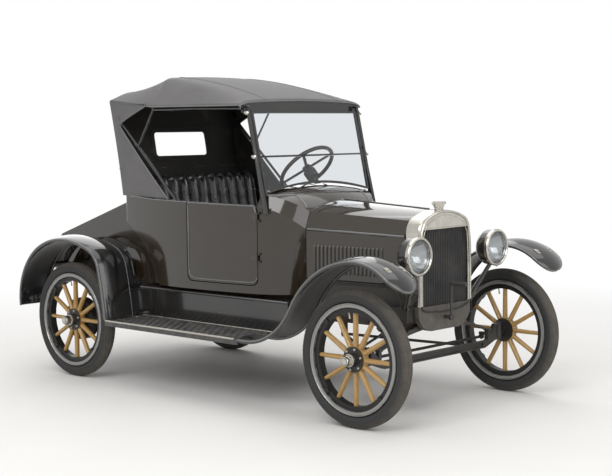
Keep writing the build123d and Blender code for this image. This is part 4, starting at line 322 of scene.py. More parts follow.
def radiator_plate(name, colour):
    """Nickel shell above; below the core the tank and apron are dull black paint, lightened to a
    brownish grey as a painted reflection.
    """
    made = Finish(name, Roughness=0.2)
    parts = made.node("ShaderNodeSeparateXYZ")
    made.link(made.coordinates, parts.inputs["Vector"])
    above = made.math("GREATER_THAN", parts.outputs["Z"], SHELL_PLATED_FROM)
    haze = made.noise(17.0, 7.0)
    plated = made.ramp(haze, *tarnished(colour))
    # The paint below the core is lightened from black to brownish grey: a painted reflection
    lower_paint_with_painted_reflection = made.ramp(haze, (0.30, (0.060, 0.056, 0.050)), (0.75, (0.115, 0.104, 0.090)))
    both = made.node("ShaderNodeMix", data_type="RGBA")
    made.link(above, both.inputs["Factor"])
    made.link(lower_paint_with_painted_reflection, both.inputs["A"])
    made.link(plated, both.inputs["B"])
    made.link(both.outputs["Result"], made.shader.inputs["Base Color"])
    made.link(above, made.shader.inputs["Metallic"])
    made.link(made.span(above, 0.50, 0.17, 0.0, 1.0), made.shader.inputs["Roughness"])
    made.bump(haze, 0.05, 0.001)
    return made.material


def spoke_oak(name, centre):
    """Varnished oak whose grain runs out from the hub, darker where the varnish has aged."""
    made = Finish(name, Roughness=0.30, Coat_Weight=0.35, Coat_Roughness=0.15)
    radius, angle, side = made.radius_about(centre)
    grain_place = made.node("ShaderNodeCombineXYZ")
    made.link(made.math("MULTIPLY", radius, 3.0), grain_place.inputs["X"])
    made.link(made.math("MULTIPLY", angle, 22.0), grain_place.inputs["Y"])
    made.link(made.math("MULTIPLY", side, 90.0), grain_place.inputs["Z"])
    grain = made.noise(2.6, 7.0, grain_place.outputs["Vector"], 0.65)
    tone = colours()
    made.colour_from(
        grain,
        (0.30, tone.dark_oak),
        (0.46, blended(tone.dark_oak, tone.oak, 0.75)),
        (0.62, tone.oak),
        (0.85, blended(tone.oak, (0.62, 0.36, 0.12), 0.5)),
    )
    made.roughness_from(made.noise(20.0), 0.22, 0.45)
    made.bump(grain, 0.25, 0.0012)
    return made.material


def wheel_metal(name, centre):
    """Zinc rim outside, black felloe and hub inside, by distance from the axle."""
    made = Finish(name, Roughness=0.42, Metallic=0.35)
    radius = made.radius_about(centre)[0]
    zone = made.math("DIVIDE", radius, RIM_R)
    wear = made.noise(35.0, 7.0)
    mark = made.math("ADD", zone, made.math("MULTIPLY", made.math("SUBTRACT", wear, 0.5), 0.02))
    black, zinc = colours().chassis, colours().rim
    made.colour_from(
        mark,
        (0.60, blended(black, DUST, 0.10)),
        (0.908, black),
        (0.916, blended(zinc, (0.12, 0.11, 0.10), 0.35)),
        (1.0, zinc),
    )
    made.roughness_from(wear, 0.32, 0.58)
    made.bump(made.noise(210.0, 4.0), 0.18, 0.0008)
    return made.material


def tyre_rubber(name, centre):
    """Dark rubber, dusty on the tread, with fine moulded rings on the side."""
    made = Finish(name, Roughness=0.78, Specular_IOR_Level=0.35)
    radius = made.radius_about(centre)[0]
    rubber = colours().rubber
    cloud = made.noise(26.0, 8.0)
    worn = made.span(radius, 0.0, 1.0, TYRE_R - 0.030, TYRE_R)
    dusty = made.math("MULTIPLY", worn, cloud)
    made.colour_from(
        made.math("ADD", made.math("MULTIPLY", dusty, 0.9), made.math("MULTIPLY", cloud, 0.25)),
        (0.10, rubber),
        (0.42, blended(rubber, DUST, 0.30)),
        (0.85, blended(rubber, DUST, 0.65)),
    )
    made.roughness_from(cloud, 0.62, 0.9)
    rings = made.math("SINE", made.math("MULTIPLY", radius, 1250.0))
    made.bump(rings, 0.10, 0.0006)
    made.bump(made.noise(420.0, 3.0), 0.30, 0.0006)
    return made.material


def top_cloth(name, colour):
    """Coated duck cloth: a close weave under a dull coat, creased and dusty."""
    made = Finish(
        name, Roughness=0.80, Specular_IOR_Level=0.30, Sheen_Weight=0.15, Sheen_Roughness=0.5
    )
    cloud = made.noise(5.0, 8.0)
    crease = made.noise(16.0, 6.0, made.stretched((0.5, 1.0, 1.0)))
    damp, bleached = blended(colour, BLACK, 0.22), blended(colour, (0.22, 0.21, 0.20), 0.32)
    made.colour_from(cloud, (0.28, damp), (0.55, colour), (0.82, bleached))
    made.roughness_from(cloud, 0.66, 0.88)
    waves = []
    for direction in ("X", "Y", "Z"):
        wave = made.node("ShaderNodeTexWave", bands_direction=direction)
        wave.inputs["Scale"].default_value = 240.0
        wave.inputs["Distortion"].default_value = 0.6
        made.link(made.coordinates, wave.inputs["Vector"])
        waves.append(wave.outputs["Fac"])
    weave = made.math("ADD", waves[0], made.math("ADD", waves[1], waves[2]))
    made.bump(weave, 0.16, 0.0006)
    made.bump(crease, 0.35, 0.006)
    return made.material


def seat_leather(name, colour):
    """Pebbled black leather, paler in random patches."""
    made = Finish(
        name, Roughness=0.28, Specular_IOR_Level=0.55, Coat_Weight=0.35, Coat_Roughness=0.18
    )
    cloud = made.noise(8.0, 7.0)
    made.colour_from(cloud, (0.32, colour), (0.75, blended(colour, (0.12, 0.10, 0.085), 0.20)))
    made.roughness_from(cloud, 0.20, 0.42)
    made.bump(made.cells(260.0), 0.30, 0.0012)
    made.bump(made.noise(24.0, 6.0), 0.22, 0.004)
    return made.material


def plain_wood(name, dark, light, roughness=0.5):
    """Straight-grained boards along the car."""
    made = Finish(name, Roughness=roughness)
    grain = made.noise(9.0, 8.0, made.stretched((0.8, 14.0, 14.0)), 0.6)
    made.colour_from(grain, (0.34, dark), (0.66, light))
    made.roughness_from(made.noise(12.0), roughness * 0.7, min(roughness * 1.5, 0.95))
    made.bump(grain, 0.25, 0.0015)
    return made.material


def clear_glass(name, tint, haze=0.02):
    """Old clear glass with a little waviness."""
    made = Finish(name, Roughness=haze, IOR=1.45, Transmission_Weight=1.0, Specular_IOR_Level=0.5)
    made.shader.inputs["Base Color"].default_value = (*tint, 1.0)
    made.bump(made.noise(3.0, 2.0), 0.02, 0.003)
    return made.material


def core_tubes(name):
    """Black radiator tubes crossed by close fins, with paler dusty patches."""
    made = Finish(name, Roughness=0.36, Metallic=0.3)
    cloud = made.noise(14.0, 6.0)
    made.colour_from(cloud, (0.35, (0.012, 0.013, 0.019)), (0.72, (0.040, 0.042, 0.055)))
    fins = made.node("ShaderNodeTexWave", bands_direction="Z")
    fins.inputs["Scale"].default_value = 48.0
    made.link(made.coordinates, fins.inputs["Vector"])
    made.bump(fins.outputs["Fac"], 0.8, 0.003)
    return made.material


def step_rubber(name):
    """Dull black matting of the running boards, dusty in patches."""
    made = Finish(name, Roughness=0.7)
    cloud = made.noise(18.0, 7.0)
    made.colour_from(cloud, (0.32, (0.026, 0.026, 0.028)), (0.74, (0.095, 0.090, 0.082)))
    made.roughness_from(cloud, 0.30, 0.55)
    made.bump(made.noise(180.0, 3.0), 0.25, 0.0008)
    return made.material


# Mesh helpers


def add_piece(name, shape, body, slot, *looks, sharp=40.0):
    """Put a mesh, or several as one, in the scene with its finishes, riding on a CAD body."""
    mesh = joined_mesh(shape) if isinstance(shape, list) else shape
    mesh.name = name
    for look in looks:
        mesh.materials.append(finish(look) if isinstance(look, str) else look)
    mesh.shade_smooth()
    mesh.set_sharp_from_angle(angle=math.radians(sharp))
    piece = bpy.data.objects.new(name, mesh)
    bpy.context.scene.collection.objects.link(piece)
    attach(piece, body)
    return piece


def thickened(piece, thickness):
    """Give a sheet its thickness, inward from its face."""
    made = piece.modifiers.new("thickness", "SOLIDIFY")
    made.thickness = thickness
    made.offset = -1.0
    return made


def smoothed(piece, levels):
    """Subdivide a piece."""
    made = piece.modifiers.new("smooth", "SUBSURF")
    made.levels = made.render_levels = levels


def grid_mesh(rows, close_rows=False, close_columns=False):
    """A mesh through rows of points; either way round may be closed."""
    count = len(rows[0])
    faces = []
    for row in range(len(rows) if close_rows else len(rows) - 1):
        start, following = row * count, (row + 1) % len(rows) * count
        for column in range(count if close_columns else count - 1):
            beside = (column + 1) % count
            faces.append((start + column, start + beside, following + beside, following + column))
    mesh = bpy.data.meshes.new("grid")
    mesh.from_pydata([tuple(point) for row in rows for point in row], [], faces)
    mesh.validate()
    return mesh


def facing(rows, flip):
    """Rows of a sheet, each turned end for end where the sheet would face inward."""
    return [row[::-1] for row in rows] if flip else rows


def joined_mesh(meshes):
    """One mesh out of several, with no merging."""
    points, faces = [], []
    for mesh in meshes:
        start = len(points)
        points.extend(tuple(v.co) for v in mesh.vertices)
        faces.extend(tuple(start + corner for corner in face.vertices) for face in mesh.polygons)
        bpy.data.meshes.remove(mesh)
    joined = bpy.data.meshes.new("joined")
    joined.from_pydata(points, [], faces)
    joined.validate()
    return joined


def outward(mesh):
    """Turn a closed mesh's faces outward, as glass needs."""
    work = bmesh.new()
    work.from_mesh(mesh)
    bmesh.ops.recalc_face_normals(work, faces=work.faces)
    work.to_mesh(mesh)
    work.free()
    return mesh


def capped(mesh, count):
    """Close the first and last rows of an open tube of rows."""
    points = [tuple(v.co) for v in mesh.vertices]
    faces = [tuple(face.vertices) for face in mesh.polygons]
    last = len(points) - count
    faces += [tuple(range(count - 1, -1, -1)), tuple(range(last, last + count))]
    mesh.clear_geometry()
    mesh.from_pydata(points, [], faces)
    return outward(mesh)


def tube_mesh(points, radius, around=10):
    """A round bar along points, with flat ends."""
    places = [Vector(point) for point in points]
    turns = [2 * math.pi * step / around for step in range(around)]
    rows = []
    side = None
    for index, place in enumerate(places):
        before, after = places[max(index - 1, 0)], places[min(index + 1, len(places) - 1)]
        ahead = (after - before).normalized()
        if side is None:
            side = ahead.orthogonal().normalized()
        side = (side - ahead * side.dot(ahead)).normalized()
        up = ahead.cross(side)
        ring = [place + (side * math.cos(turn) + up * math.sin(turn)) * radius for turn in turns]
        rows.append(ring)
    return capped(grid_mesh(rows, close_columns=True), around)


def spun(radius, turn, along, axis="Y"):
    """The offset at a radius and a turn about an axis, and this far along it."""
    across, up = radius * math.cos(turn), radius * math.sin(turn)
    places = {"X": (along, across, up), "Y": (across, along, up), "Z": (across, up, along)}
    return Vector(places[axis])


def turned_mesh(centre, profile, steps=64, axis="Y", closed=True):
    """Turn a profile of (radius, distance along the axis) points about an axis through a centre."""
    rows = []
    for step in range(steps):
        turn = 2 * math.pi * step / steps
        rows.append([centre + spun(radius, turn, along, axis) for radius, along in profile])
    mesh = grid_mesh(rows, close_rows=True, close_columns=closed)
    return outward(mesh) if closed else mesh


def block_mesh(centre, size, chamfer=0.0012, tilt=0.0):
    """A block about a centre, with its edges chamfered, tilted about a line across the car."""
    work = bmesh.new()
    bmesh.ops.create_cube(work, size=1.0)
    bmesh.ops.scale(work, vec=Vector(size), verts=work.verts)
    cut = min(chamfer, min(size) * 0.3)
    bmesh.ops.bevel(work, geom=list(work.edges), offset=cut, segments=1, affect="EDGES")
    mesh = bpy.data.meshes.new("block")
    work.to_mesh(mesh)
    work.free()
    mesh.transform(Matrix.Translation(centre) @ Matrix.Rotation(tilt, 4, "Y"))
    return mesh


def smooth_step(share):
    """Ease from 0 to 1."""
    share = min(max(share, 0.0), 1.0)
    return share * share * (3 - 2 * share)


def mixed(first, second, share):
    """A number or a vector part of the way to another."""
    return first + (second - first) * share


# Finishes shared by the operators, made once
FINISHES = {}


def finish(name):
    """A finish by name, made when it is first asked for."""
    if name not in FINISHES:
        tone = colours()
        # Beads and hinge strips: the fenders' black made paler, as a painted highlight along their
        # rounded tops
        bead_painted_highlight = blended(tone.fender, (0.5, 0.5, 0.5), 0.22)
        # Louvers: the body's enamel made paler, as a painted highlight on their domed tops
        louver_painted_highlight = blended(tone.body, (0.4, 0.4, 0.4), 0.10)
        pale_cloth = blended(tone.cloth, (0.30, 0.30, 0.30), 0.25)
        maker, *values = {
            "body": (enamel, "body_enamel", tone.body, 0.07, 0.15),
            "bead": (enamel, "bead_enamel", bead_painted_highlight, 0.12, 0.10),
            "louver": (enamel, "louver_enamel", louver_painted_highlight, 0.16, 0.10),
            "fender": (enamel, "fender_enamel", tone.fender, 0.10, 0.30),
            "chassis": (chassis_paint, "chassis_black", tone.chassis),
            "spring": (chassis_paint, "spring_steel", (0.028, 0.027, 0.026)),
            "core": (chassis_paint, "core_black", (0.013, 0.013, 0.013)),
            "iron": (cast_metal, "engine_iron", (0.11, 0.105, 0.10)),
            "exhaust": (cast_metal, "exhaust_iron", (0.13, 0.10, 0.085), (0.16, 0.06, 0.03)),
            "nickel": (plating, "nickel_plate", tone.nickel),
            "dull_nickel": (plating, "worn_nickel", tone.nickel, 0.30),
            "mirror": (plating, "reflector_silver", (0.46, 0.47, 0.49), 0.10),
            "zinc": (plating, "rim_zinc", tone.rim, 0.34),
            "shell": (radiator_plate, "radiator_plate", tone.nickel),
            "tubes": (core_tubes, "core_tubes"),
            "lens": (clear_glass, "lens_glass", (0.84, 0.87, 0.88)),
            "window": (clear_glass, "window_glass", (0.74, 0.77, 0.79), 0.0),
            "cloth": (top_cloth, "top_cloth", tone.cloth),
            "binding": (top_cloth, "top_binding", pale_cloth),
            "lining": (top_cloth, "top_lining", tone.lining),
            "leather": (seat_leather, "seat_leather", tone.leather),
            "rim_wood": (plain_wood, "wheel_rim_wood", *RIM_BROWNS, 0.28),
            "boards": (plain_wood, "floor_wood", (0.05, 0.035, 0.025), (0.13, 0.09, 0.06), 0.7),
            "step": (step_rubber, "step_matting"),
        }[name]
        FINISHES[name] = maker(*values)
    return FINISHES[name]


# Which finish each carried-over CAD node takes
NODE_FINISHES = (
    ("body", ("body_tub", "cowl", "turtle_deck", "deck_lid", "door_right", "door_left")),
    ("body", ("hood_top_right", "hood_top_left", "hood_side_right", "hood_side_left")),
    ("fender", ("splash_aprons", "front_fenders", "rear_fenders")),
    ("fender", ("windshield_frame", "top_bows", "headlamps")),
    ("chassis", ("frame", "front_axle", "rear_axle", "driver_controls")),
    ("chassis", ("knuckle_right", "knuckle_left", "tie_rod", "drag_link")),
    ("iron", ("engine",)),
    ("exhaust", ("exhaust",)),
    ("spring", ("springs", "steering_shaft", "crank")),
    ("nickel", ("hood_hinge",)),
    ("shell", ("radiator_shell",)),
    ("core", ("radiator_core",)),
    ("window", ("windshield_glass",)),
    ("rim_wood", ("steering_wheel",)),
    ("boards", ("floor_boards",)),
    ("step", ("running_boards",)),
)


def paint_node(node, material):
    """Give a CAD node one finish."""
    mesh = NODES[node].data
    mesh.materials.clear()
    mesh.materials.append(material)
    for face in mesh.polygons:
        face.material_index = 0


class RUNABOUT_OT_paint(bpy.types.Operator):
    """Paint the carried-over metal and wood"""

    bl_idname = "runabout.paint"
    bl_label = "Paint Metal and Wood"

    def execute(self, context):
        for name, nodes in NODE_FINISHES:
            for node in nodes:
                paint_node(node, finish(name))
        for corner in CORNERS:
            centre = WHEEL_CENTRES[corner]
            paint_node(f"spokes_{corner}", spoke_oak(f"oak_{corner}", centre))
            paint_node(f"rim_hub_{corner}", wheel_metal(f"rim_{corner}", centre))
        return {"FINISHED"}


# The tyre's section: the bead's depth under the tread, how far round it turns from the middle of
# the tread, in degrees, how square its side and tread are, and where grooves and shoulders start
TYRE_DEEP = 0.0745
TYRE_TURN, TREAD_TURN, SHOULDER_TURN = 148.0, 58.0, 36.0
SIDE_SQUARE, TREAD_SQUARE = 0.86, 0.80
# Shares of a tread block's length, and whether its shoulder is notched there
BLOCK_ROWS = ((0.04, False), (0.50, False), (0.72, False), (0.76, True), (0.98, True))


def tyre_profile(depth, notched):
    """The tyre's section from bead to bead, as (radius, side), with the tread's grooves."""
    low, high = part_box("tyre_rear_right")
    half = (high.y - low.y) / 2
    bead_r = TYRE_R - TYRE_DEEP
    section_r = (TYRE_R + bead_r) / 2
    tall = TYRE_R - section_r
    points = []
    steps = 44
    for step in range(steps + 1):
        turn = math.radians(mixed(-TYRE_TURN, TYRE_TURN, step / steps))
        across, up = math.sin(turn), math.cos(turn)
        side = half * math.copysign(abs(across) ** SIDE_SQUARE, across)
        radius = section_r + tall * math.copysign(abs(up) ** TREAD_SQUARE, up)
        notch = notched and abs(turn) > math.radians(SHOULDER_TURN)
        if abs(turn) < math.radians(TREAD_TURN) and (notch or step % 4 == 0):
            radius -= depth
        points.append((radius, side))
    # Close the section along the rim
    return points + [(bead_r - 0.002, side * half * 0.58) for side in (1, -1)]


class RUNABOUT_OT_tyres(bpy.types.Operator):
    """Make the four tyres with ribbed tread and notched shoulders"""

    bl_idname = "runabout.tyres"
    bl_label = "Tyres"

    def execute(self, context):
        depth, blocks = sizes().tread_depth, sizes().tread_blocks
        profiles = {notched: tyre_profile(depth, notched) for notched in (False, True)}
        for corner in CORNERS:
            centre = WHEEL_CENTRES[corner]
            rows = []
            for block in range(blocks):
                for share, notched in BLOCK_ROWS:
                    turn = 2 * math.pi * (block + share) / blocks
                    profile = profiles[notched]
                    rows.append([centre + spun(radius, turn, side) for radius, side in profile])
            tyre = add_piece(
                f"tyre_tread_{corner}",
                grid_mesh(rows, close_rows=True, close_columns=True),
                f"wheel_{corner}",
                "tyre_rubber",
                tyre_rubber(f"rubber_{corner}", centre),
                sharp=28.0,
            )
            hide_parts(f"tyre_{corner}")
        return {"FINISHED"}


def tangent_path(start, heading, targets, step=0.02):
    """Places and headings, in X and Z, on arcs that start with a heading and meet each target."""
    here, ahead = Vector(start), Vector(heading).normalized()
    path = [(here.copy(), ahead.copy())]
    for target in targets:
        there = Vector(target)
        chord = there - here
        bend = 2 * ahead.angle_signed(chord)
        pieces = max(2, round(chord.length / step))
        for piece in range(1, pieces + 1):
            share = piece / pieces
            turned = Matrix.Rotation(-bend * share, 2)
            if abs(bend) < 1e-6:
                place = here + chord * share
            else:
                # The chord to a point on the arc turns by half the arc's turn
                reach = chord.length * math.sin(bend * share / 2) / math.sin(bend / 2)
                place = here + (Matrix.Rotation(-bend * share / 2, 2) @ ahead) * reach
            path.append((place, turned @ ahead))
        ahead = Matrix.Rotation(-bend, 2) @ ahead
        here = there
    return path


# Fender edges in X and Z, in metres from each axle: a start, its heading and the ends of its arcs
FRONT_FENDER = (
    (-0.770, 0.0385),
    (1, 0),
    ((-0.400, 0.258), (-0.206, 0.467), (0.050, 0.555), (0.383, 0.402)),
)
REAR_FENDER_TOP = (0.023, 0.553)
REAR_FENDER_AHEAD = ((0.295, 0.502), (0.402, 0.380), (0.462, 0.0445))
REAR_FENDER_BEHIND = ((-0.217, 0.503), (-0.400, 0.357), (-0.479, 0.066))
# The fenders' width, the rise of their crown, the drop to their inner edge and the outer lip
FENDER_WIDE = 0.238
FENDER_CROWN = 0.022
FENDER_DROP = 0.010
FENDER_LIP = 0.016
FENDER_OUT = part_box("front_fenders")[1].y
# How far back from the front tip each row of its round end lies
TIP_REACHES = (0.119, 0.104, 0.088, 0.072, 0.057, 0.043, 0.031, 0.021, 0.013, 0.007, 0.003, 0.0008)
# The frame's outer side
RAIL_Y = 0.310
# Where the front iron's pad meets the fender, from the front axle
FRONT_IRON = (0.0825, 0.5564)
# Half widths of the body beside the rear fender: the deck's, the tub's and the splash apron's
DECK_HALF, TUB_HALF, APRON_HALF = 0.482, 0.531, 0.494
TUB_REAR_X = -0.884
# The rear fenders' straps: ahead of the axle, up from it, and the side of the body they reach
REAR_STRAPS = ((0.023, 0.541, DECK_HALF + 0.003), (-0.384, 0.347, 0.464))
# How far ahead of the rear axle the rear fenders' feet stand on the running boards
REAR_FOOT = 0.479
# How far behind the axle the inner panels reach, how far they go into the body, and their section
# from the fender to the body: share of the gap, and depth under the edge
PANEL_REAR, PANEL_INTO = 0.430, 0.009
PANEL_SECTION = (
    (0.0, 0.011), (0.08, 0.017), (0.30, 0.019), (0.62, 0.019), (0.90, 0.016), (1.0, 0.010),
)
# The clamps across the front tips: how far back, their shares of the width, and their bolt's head
CLAMP_BACK, CLAMP_SHARES = 0.150, (0.24, 0.76)
BOLT_HEAD = ((0.0, 0.0), (0.008, 0.0), (0.008, 0.005), (0.006, 0.0065), (0.0, 0.007))


def fender_path(end, axle_x):
    """The outer edge's points, outward normals and headings, from the rear to the front."""
    if end == "front":
        foot = (FRONT_FENDER[0][0] - 0.060, FRONT_FENDER[0][1])
        line = [(Vector(foot), Vector((1, 0)))] + tangent_path(*FRONT_FENDER)
        tip = line[-1][0]
        near = [pair for pair in line if (tip - pair[0]).length < TIP_REACHES[0] + 0.03]
        line = [pair for pair in line if (tip - pair[0]).length > TIP_REACHES[0] + 0.004]
        for reach in TIP_REACHES:
            line.append(path_point(near, reach))
    else:
        back = tangent_path(REAR_FENDER_TOP, (-1, 0), REAR_FENDER_BEHIND)
        ahead = tangent_path(REAR_FENDER_TOP, (1, 0), REAR_FENDER_AHEAD)
        line = [(place, -heading) for place, heading in reversed(back[1:])] + ahead
    placed = []
    for place, heading in line:
        normal = Vector((-heading.y, heading.x))
        placed.append((Vector((axle_x + place.x, AXLE_Z + place.y)), normal, heading))
    return placed


def path_point(line, reach):
    """A place and heading this far back from the end of a path."""
    tip = line[-1][0]
    for (first, first_way), (second, second_way) in zip(line, line[1:]):
        far, close = (tip - first).length, (tip - second).length
        if close <= reach <= far:
            share = (far - reach) / (far - close)
            return first.lerp(second, share), first_way.lerp(second_way, share).normalized()
    return line[-1]


def fender_point(place, normal, side, inward, outward):
    """A point on a fender's section: in from the outer edge, and out along the path's normal."""
    flat = place + normal * outward
    return Vector((flat.x, side * (FENDER_OUT - inward), flat.y))


def body_half(place):
    """Half width of what stands beside the rear fender at a place on its edge."""
    if place.y < BODY_BOTTOM + 0.010:
        return APRON_HALF
    rise = smooth_step((place.y - BODY_BOTTOM) / 0.030)
    beside = mixed(DECK_HALF, TUB_HALF, smooth_step((place.x - TUB_REAR_X + 0.030) / 0.045))
    return mixed(APRON_HALF, beside, rise)


def crown_point(share, narrow=0.0):
    """A place across the fender at a share of its width, and its height over the edge there."""
    wide = FENDER_WIDE - 2 * narrow
    along = narrow + wide * share
    crown = FENDER_CROWN * 4 * share * (1 - share) * (wide / FENDER_WIDE)
    return along, crown - FENDER_DROP * (along / FENDER_WIDE) ** 2


class RUNABOUT_OT_fenders(bpy.types.Operator):
    """Make the crowned fenders with wired edges, round front tips, irons and inner panels"""

    bl_idname = "runabout.fenders"
    bl_label = "Fenders"

    def execute(self, context):
        for end, axle_x in (("front", FRONT_X), ("rear", REAR_X)):
            path = fender_path(end, axle_x)
            shells, beads = [], []
            for _, side in SIDES:
                shells.append(self.shell(end, side, path))
                beads += self.beads(end, side, path)
            shell = add_piece(
                f"{end}_fender_shells", shells, "chassis", "fender_paint", "fender", sharp=50.0
            )
            thickened(shell, sizes().fender_sheet)
            smoothed(shell, 1)
            # The beads' paler enamel is a painted highlight along the fenders' wired edges
            add_piece(f"{end}_fender_beads", beads, "chassis", "fender_paint", "bead")
            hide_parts(f"{end}_fenders")
        self.irons()
        self.inner_panels()
        self.fasteners()
        return {"FINISHED"}

    def narrowing(self, end, path, place):
        """How far the section is drawn in from each side by the round front tip."""
        if end == "rear":
            return 0.0
        half = FENDER_WIDE / 2
        reach = min((path[-1][0] - place).length, half) if place.x > FRONT_X else half
        return half - math.sqrt(max(half**2 - (half - reach) ** 2, 1e-6))

    def shell(self, end, side, path):
        """The sheet of one fender, from its outer lip over the crown to its inner flange."""
        rows = []
        for place, normal, _ in path:
            narrow = self.narrowing(end, path, place)
            far = FENDER_WIDE - narrow
            spots = [
                (narrow + 0.0015, -FENDER_LIP),
                (narrow + 0.0010, -FENDER_LIP * 0.5),
                (narrow + 0.0010, -0.002),
            ]
            for step in range(15):
                along, rise = crown_point(mixed(0.03, 0.985, step / 14), narrow)
                spots.append((along, rise + 0.002))
            spots += [(far, -FENDER_DROP - 0.004), (far, -FENDER_DROP - 0.012)]
            rows.append([fender_point(place, normal, side, *spot) for spot in spots])
        return grid_mesh(facing(rows, side > 0))

    def beads(self, end, side, path):
        """The wired edges, outer and inner, joined round the front tip."""
        outer, inner = [], []
        for place, normal, _ in path:
            narrow = self.narrowing(end, path, place)
            outer.append(fender_point(place, normal, side, narrow + 0.0015, 0.0))
            inner.append(fender_point(place, normal, side, FENDER_WIDE - narrow, -FENDER_DROP))
        lines = [outer + inner[::-1]] if end == "front" else [outer, inner]
        return [tube_mesh(line, sizes().bead_radius) for line in lines]

    def irons(self):
        """The front fenders' irons up from the frame, and the rear ones' straps and feet."""
        bars = []
        inner_y = FENDER_OUT - FENDER_WIDE
        for side in (-1, 1):
            foot = Vector((FRONT_X - 0.008, side * (RAIL_Y - 0.018), FRAME_TOP + 0.006))
            pad_x, pad_z = FRONT_X + FRONT_IRON[0], AXLE_Z + FRONT_IRON[1] - 0.006
            pad = Vector((pad_x, side * (inner_y + 0.024), pad_z))
            bend = mixed(foot, pad, 0.5) + Vector((0.004, 0, 0.012))
            bars.append(tube_mesh([foot, bend, pad], 0.008))
            bars.append(block_mesh(foot, (0.040, 0.034, 0.010)))
            bars.append(block_mesh(pad + Vector((0, side * 0.014, 0.004)), (0.034, 0.052, 0.006)))
            far = inner_y + 0.010
            for ahead, up, near in REAR_STRAPS:
                centre = Vector((REAR_X + ahead, side * (far + near) / 2, AXLE_Z + up))
                bars.append(block_mesh(centre, (0.026, far - near, 0.006)))
            foot_y = side * (FENDER_OUT - FENDER_WIDE / 2)
            foot = Vector((REAR_X + REAR_FOOT, foot_y, BOARD_TOP + 0.001))
            bars.append(block_mesh(foot, (0.034, FENDER_WIDE - 0.010, 0.008)))
        add_piece("fender_irons", bars, "chassis", "chassis_paint", "chassis", sharp=30.0)

    def inner_panels(self):
        """The panels that close the gap between the rear fenders and the body."""
        sheets = []
        edge = FENDER_WIDE - 0.002
        for _, side in SIDES:
            rows = []
            for place, normal, _ in fender_path("rear", REAR_X):
                if place.x < REAR_X - PANEL_REAR or place.y < BOARD_TOP + 0.006:
                    continue
                gap = FENDER_OUT - edge - body_half(place) + PANEL_INTO
                spots = [(edge + gap * share, -sink) for share, sink in PANEL_SECTION]
                rows.append([fender_point(place, normal, side, *spot) for spot in spots])
            sheets.append(grid_mesh(facing(rows, side > 0)))
        panel = add_piece("rear_inner_panels", sheets, "chassis", "fender_paint", "fender")
        thickened(panel, sizes().fender_sheet)

    def fasteners(self):
        """Two bright clamps with a bolt across each front tip."""
        path = fender_path("front", FRONT_X)
        tip = path[-1][0]

        def misfit(spot):
            return abs((tip - spot[0]).length - CLAMP_BACK) + (spot[0].x < FRONT_X)

        place, normal, heading = min(path, key=misfit)
        tilt = -math.atan2(heading.y, heading.x)
        bright = []
        for side in (-1, 1):
            for share in CLAMP_SHARES:
                along, rise = crown_point(share)
                centre = fender_point(place, normal, side, along, rise + 0.004)
                bright.append(block_mesh(centre, (0.046, 0.030, 0.005), tilt=tilt))
                head = turned_mesh(Vector(), BOLT_HEAD, 12, "Z")
                seat = Matrix.Translation(centre + Vector((0, 0, 0.002)))
                head.transform(seat @ Matrix.Rotation(tilt, 4, "Y"))
                bright.append(head)
        add_piece("fender_clamps", bright, "chassis", "bright_metal", "nickel", sharp=30.0)


# Louvers in each hood side, from the cowl forward and from the shelf up
LOUVER_START = 0.055
LOUVER_PITCH = 0.0285
LOUVER_WIDE = 0.017
LOUVER_LOW = 0.136
LOUVER_HIGH = 0.310
HOOD_REAR_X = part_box("hood_side_right")[0].x
HOOD_FRONT_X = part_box("hood_side_right")[1].x
HOOD_REAR_HALF = 0.329
HOOD_FRONT_HALF = 0.246


def hood_half(x):
    """Half width of the hood's side face at a station."""
    share = (x - HOOD_REAR_X + 0.005) / (HOOD_FRONT_X - HOOD_REAR_X + 0.010)
    return mixed(HOOD_REAR_HALF, HOOD_FRONT_HALF, share)


class RUNABOUT_OT_louvers(bpy.types.Operator):
    """Press upright louvers with domed ends into both hood sides"""

    bl_idname = "runabout.louvers"
    bl_label = "Hood Louvers"

    def execute(self, context):
        tall = LOUVER_HIGH - LOUVER_LOW
        dome = LOUVER_WIDE * 0.62
        heights = [dome * (1 - math.cos(math.radians(90 * step / 6))) for step in range(7)]
        heights += [mixed(dome, tall - dome, step / 4) for step in (1, 2, 3)]
        heights += [tall - height for height in reversed(heights[:7])]
        for name, side in SIDES:
            louvers = []
            for count in range(sizes().louver_count):
                middle_x = HOOD_REAR_X + LOUVER_START + LOUVER_WIDE / 2 + count * LOUVER_PITCH
                rows = [self.row(middle_x, height, tall, dome, side) for height in heights]
                louvers.append(grid_mesh(rows))
            # The louvers' paler enamel is a painted highlight on their domed tops
            add_piece(f"hood_louvers_{name}", louvers, f"hood_{name}_side", "body_paint", "louver")
        return {"FINISHED"}

    def row(self, middle_x, height, tall, dome, side):
        """Points round a louver at a height, swelling out of the hood between its domed ends."""
        into = min(height, tall - height, dome) / dome
        swell = math.sqrt(max(1 - (1 - into) ** 2, 0.0))
        points = []
        for turn in range(10):
            angle = math.radians(180 * turn / 9)
            x = middle_x + LOUVER_WIDE / 2 * math.cos(angle) * max(swell, 0.04)
            out = sizes().louver_stand * math.sin(angle) * swell + 0.0003
            points.append((x, side * (hood_half(x) + out), BODY_BOTTOM + LOUVER_LOW + height))
        return points


# The windshield's plane: its foot, its lean, and places up it and across, in metres
SHIELD_FOOT = (0.412, 1.263)
SHIELD_LEAN = math.radians(12.6)
SHIELD_HALF = 0.478
SHIELD_TALL = 0.522
SHIELD_SPLIT = 0.237
SHIELD_ARCH = 0.058
SHIELD_BAR = 0.014
POST_MIDDLE, POST_LOW, POST_HIGH = 0.499, -0.116, 0.540
# The inset of a pane's edge where the two panes meet, and a pane's thickness
PANE_EDGE, PANE_THICK = 0.0045, 0.004
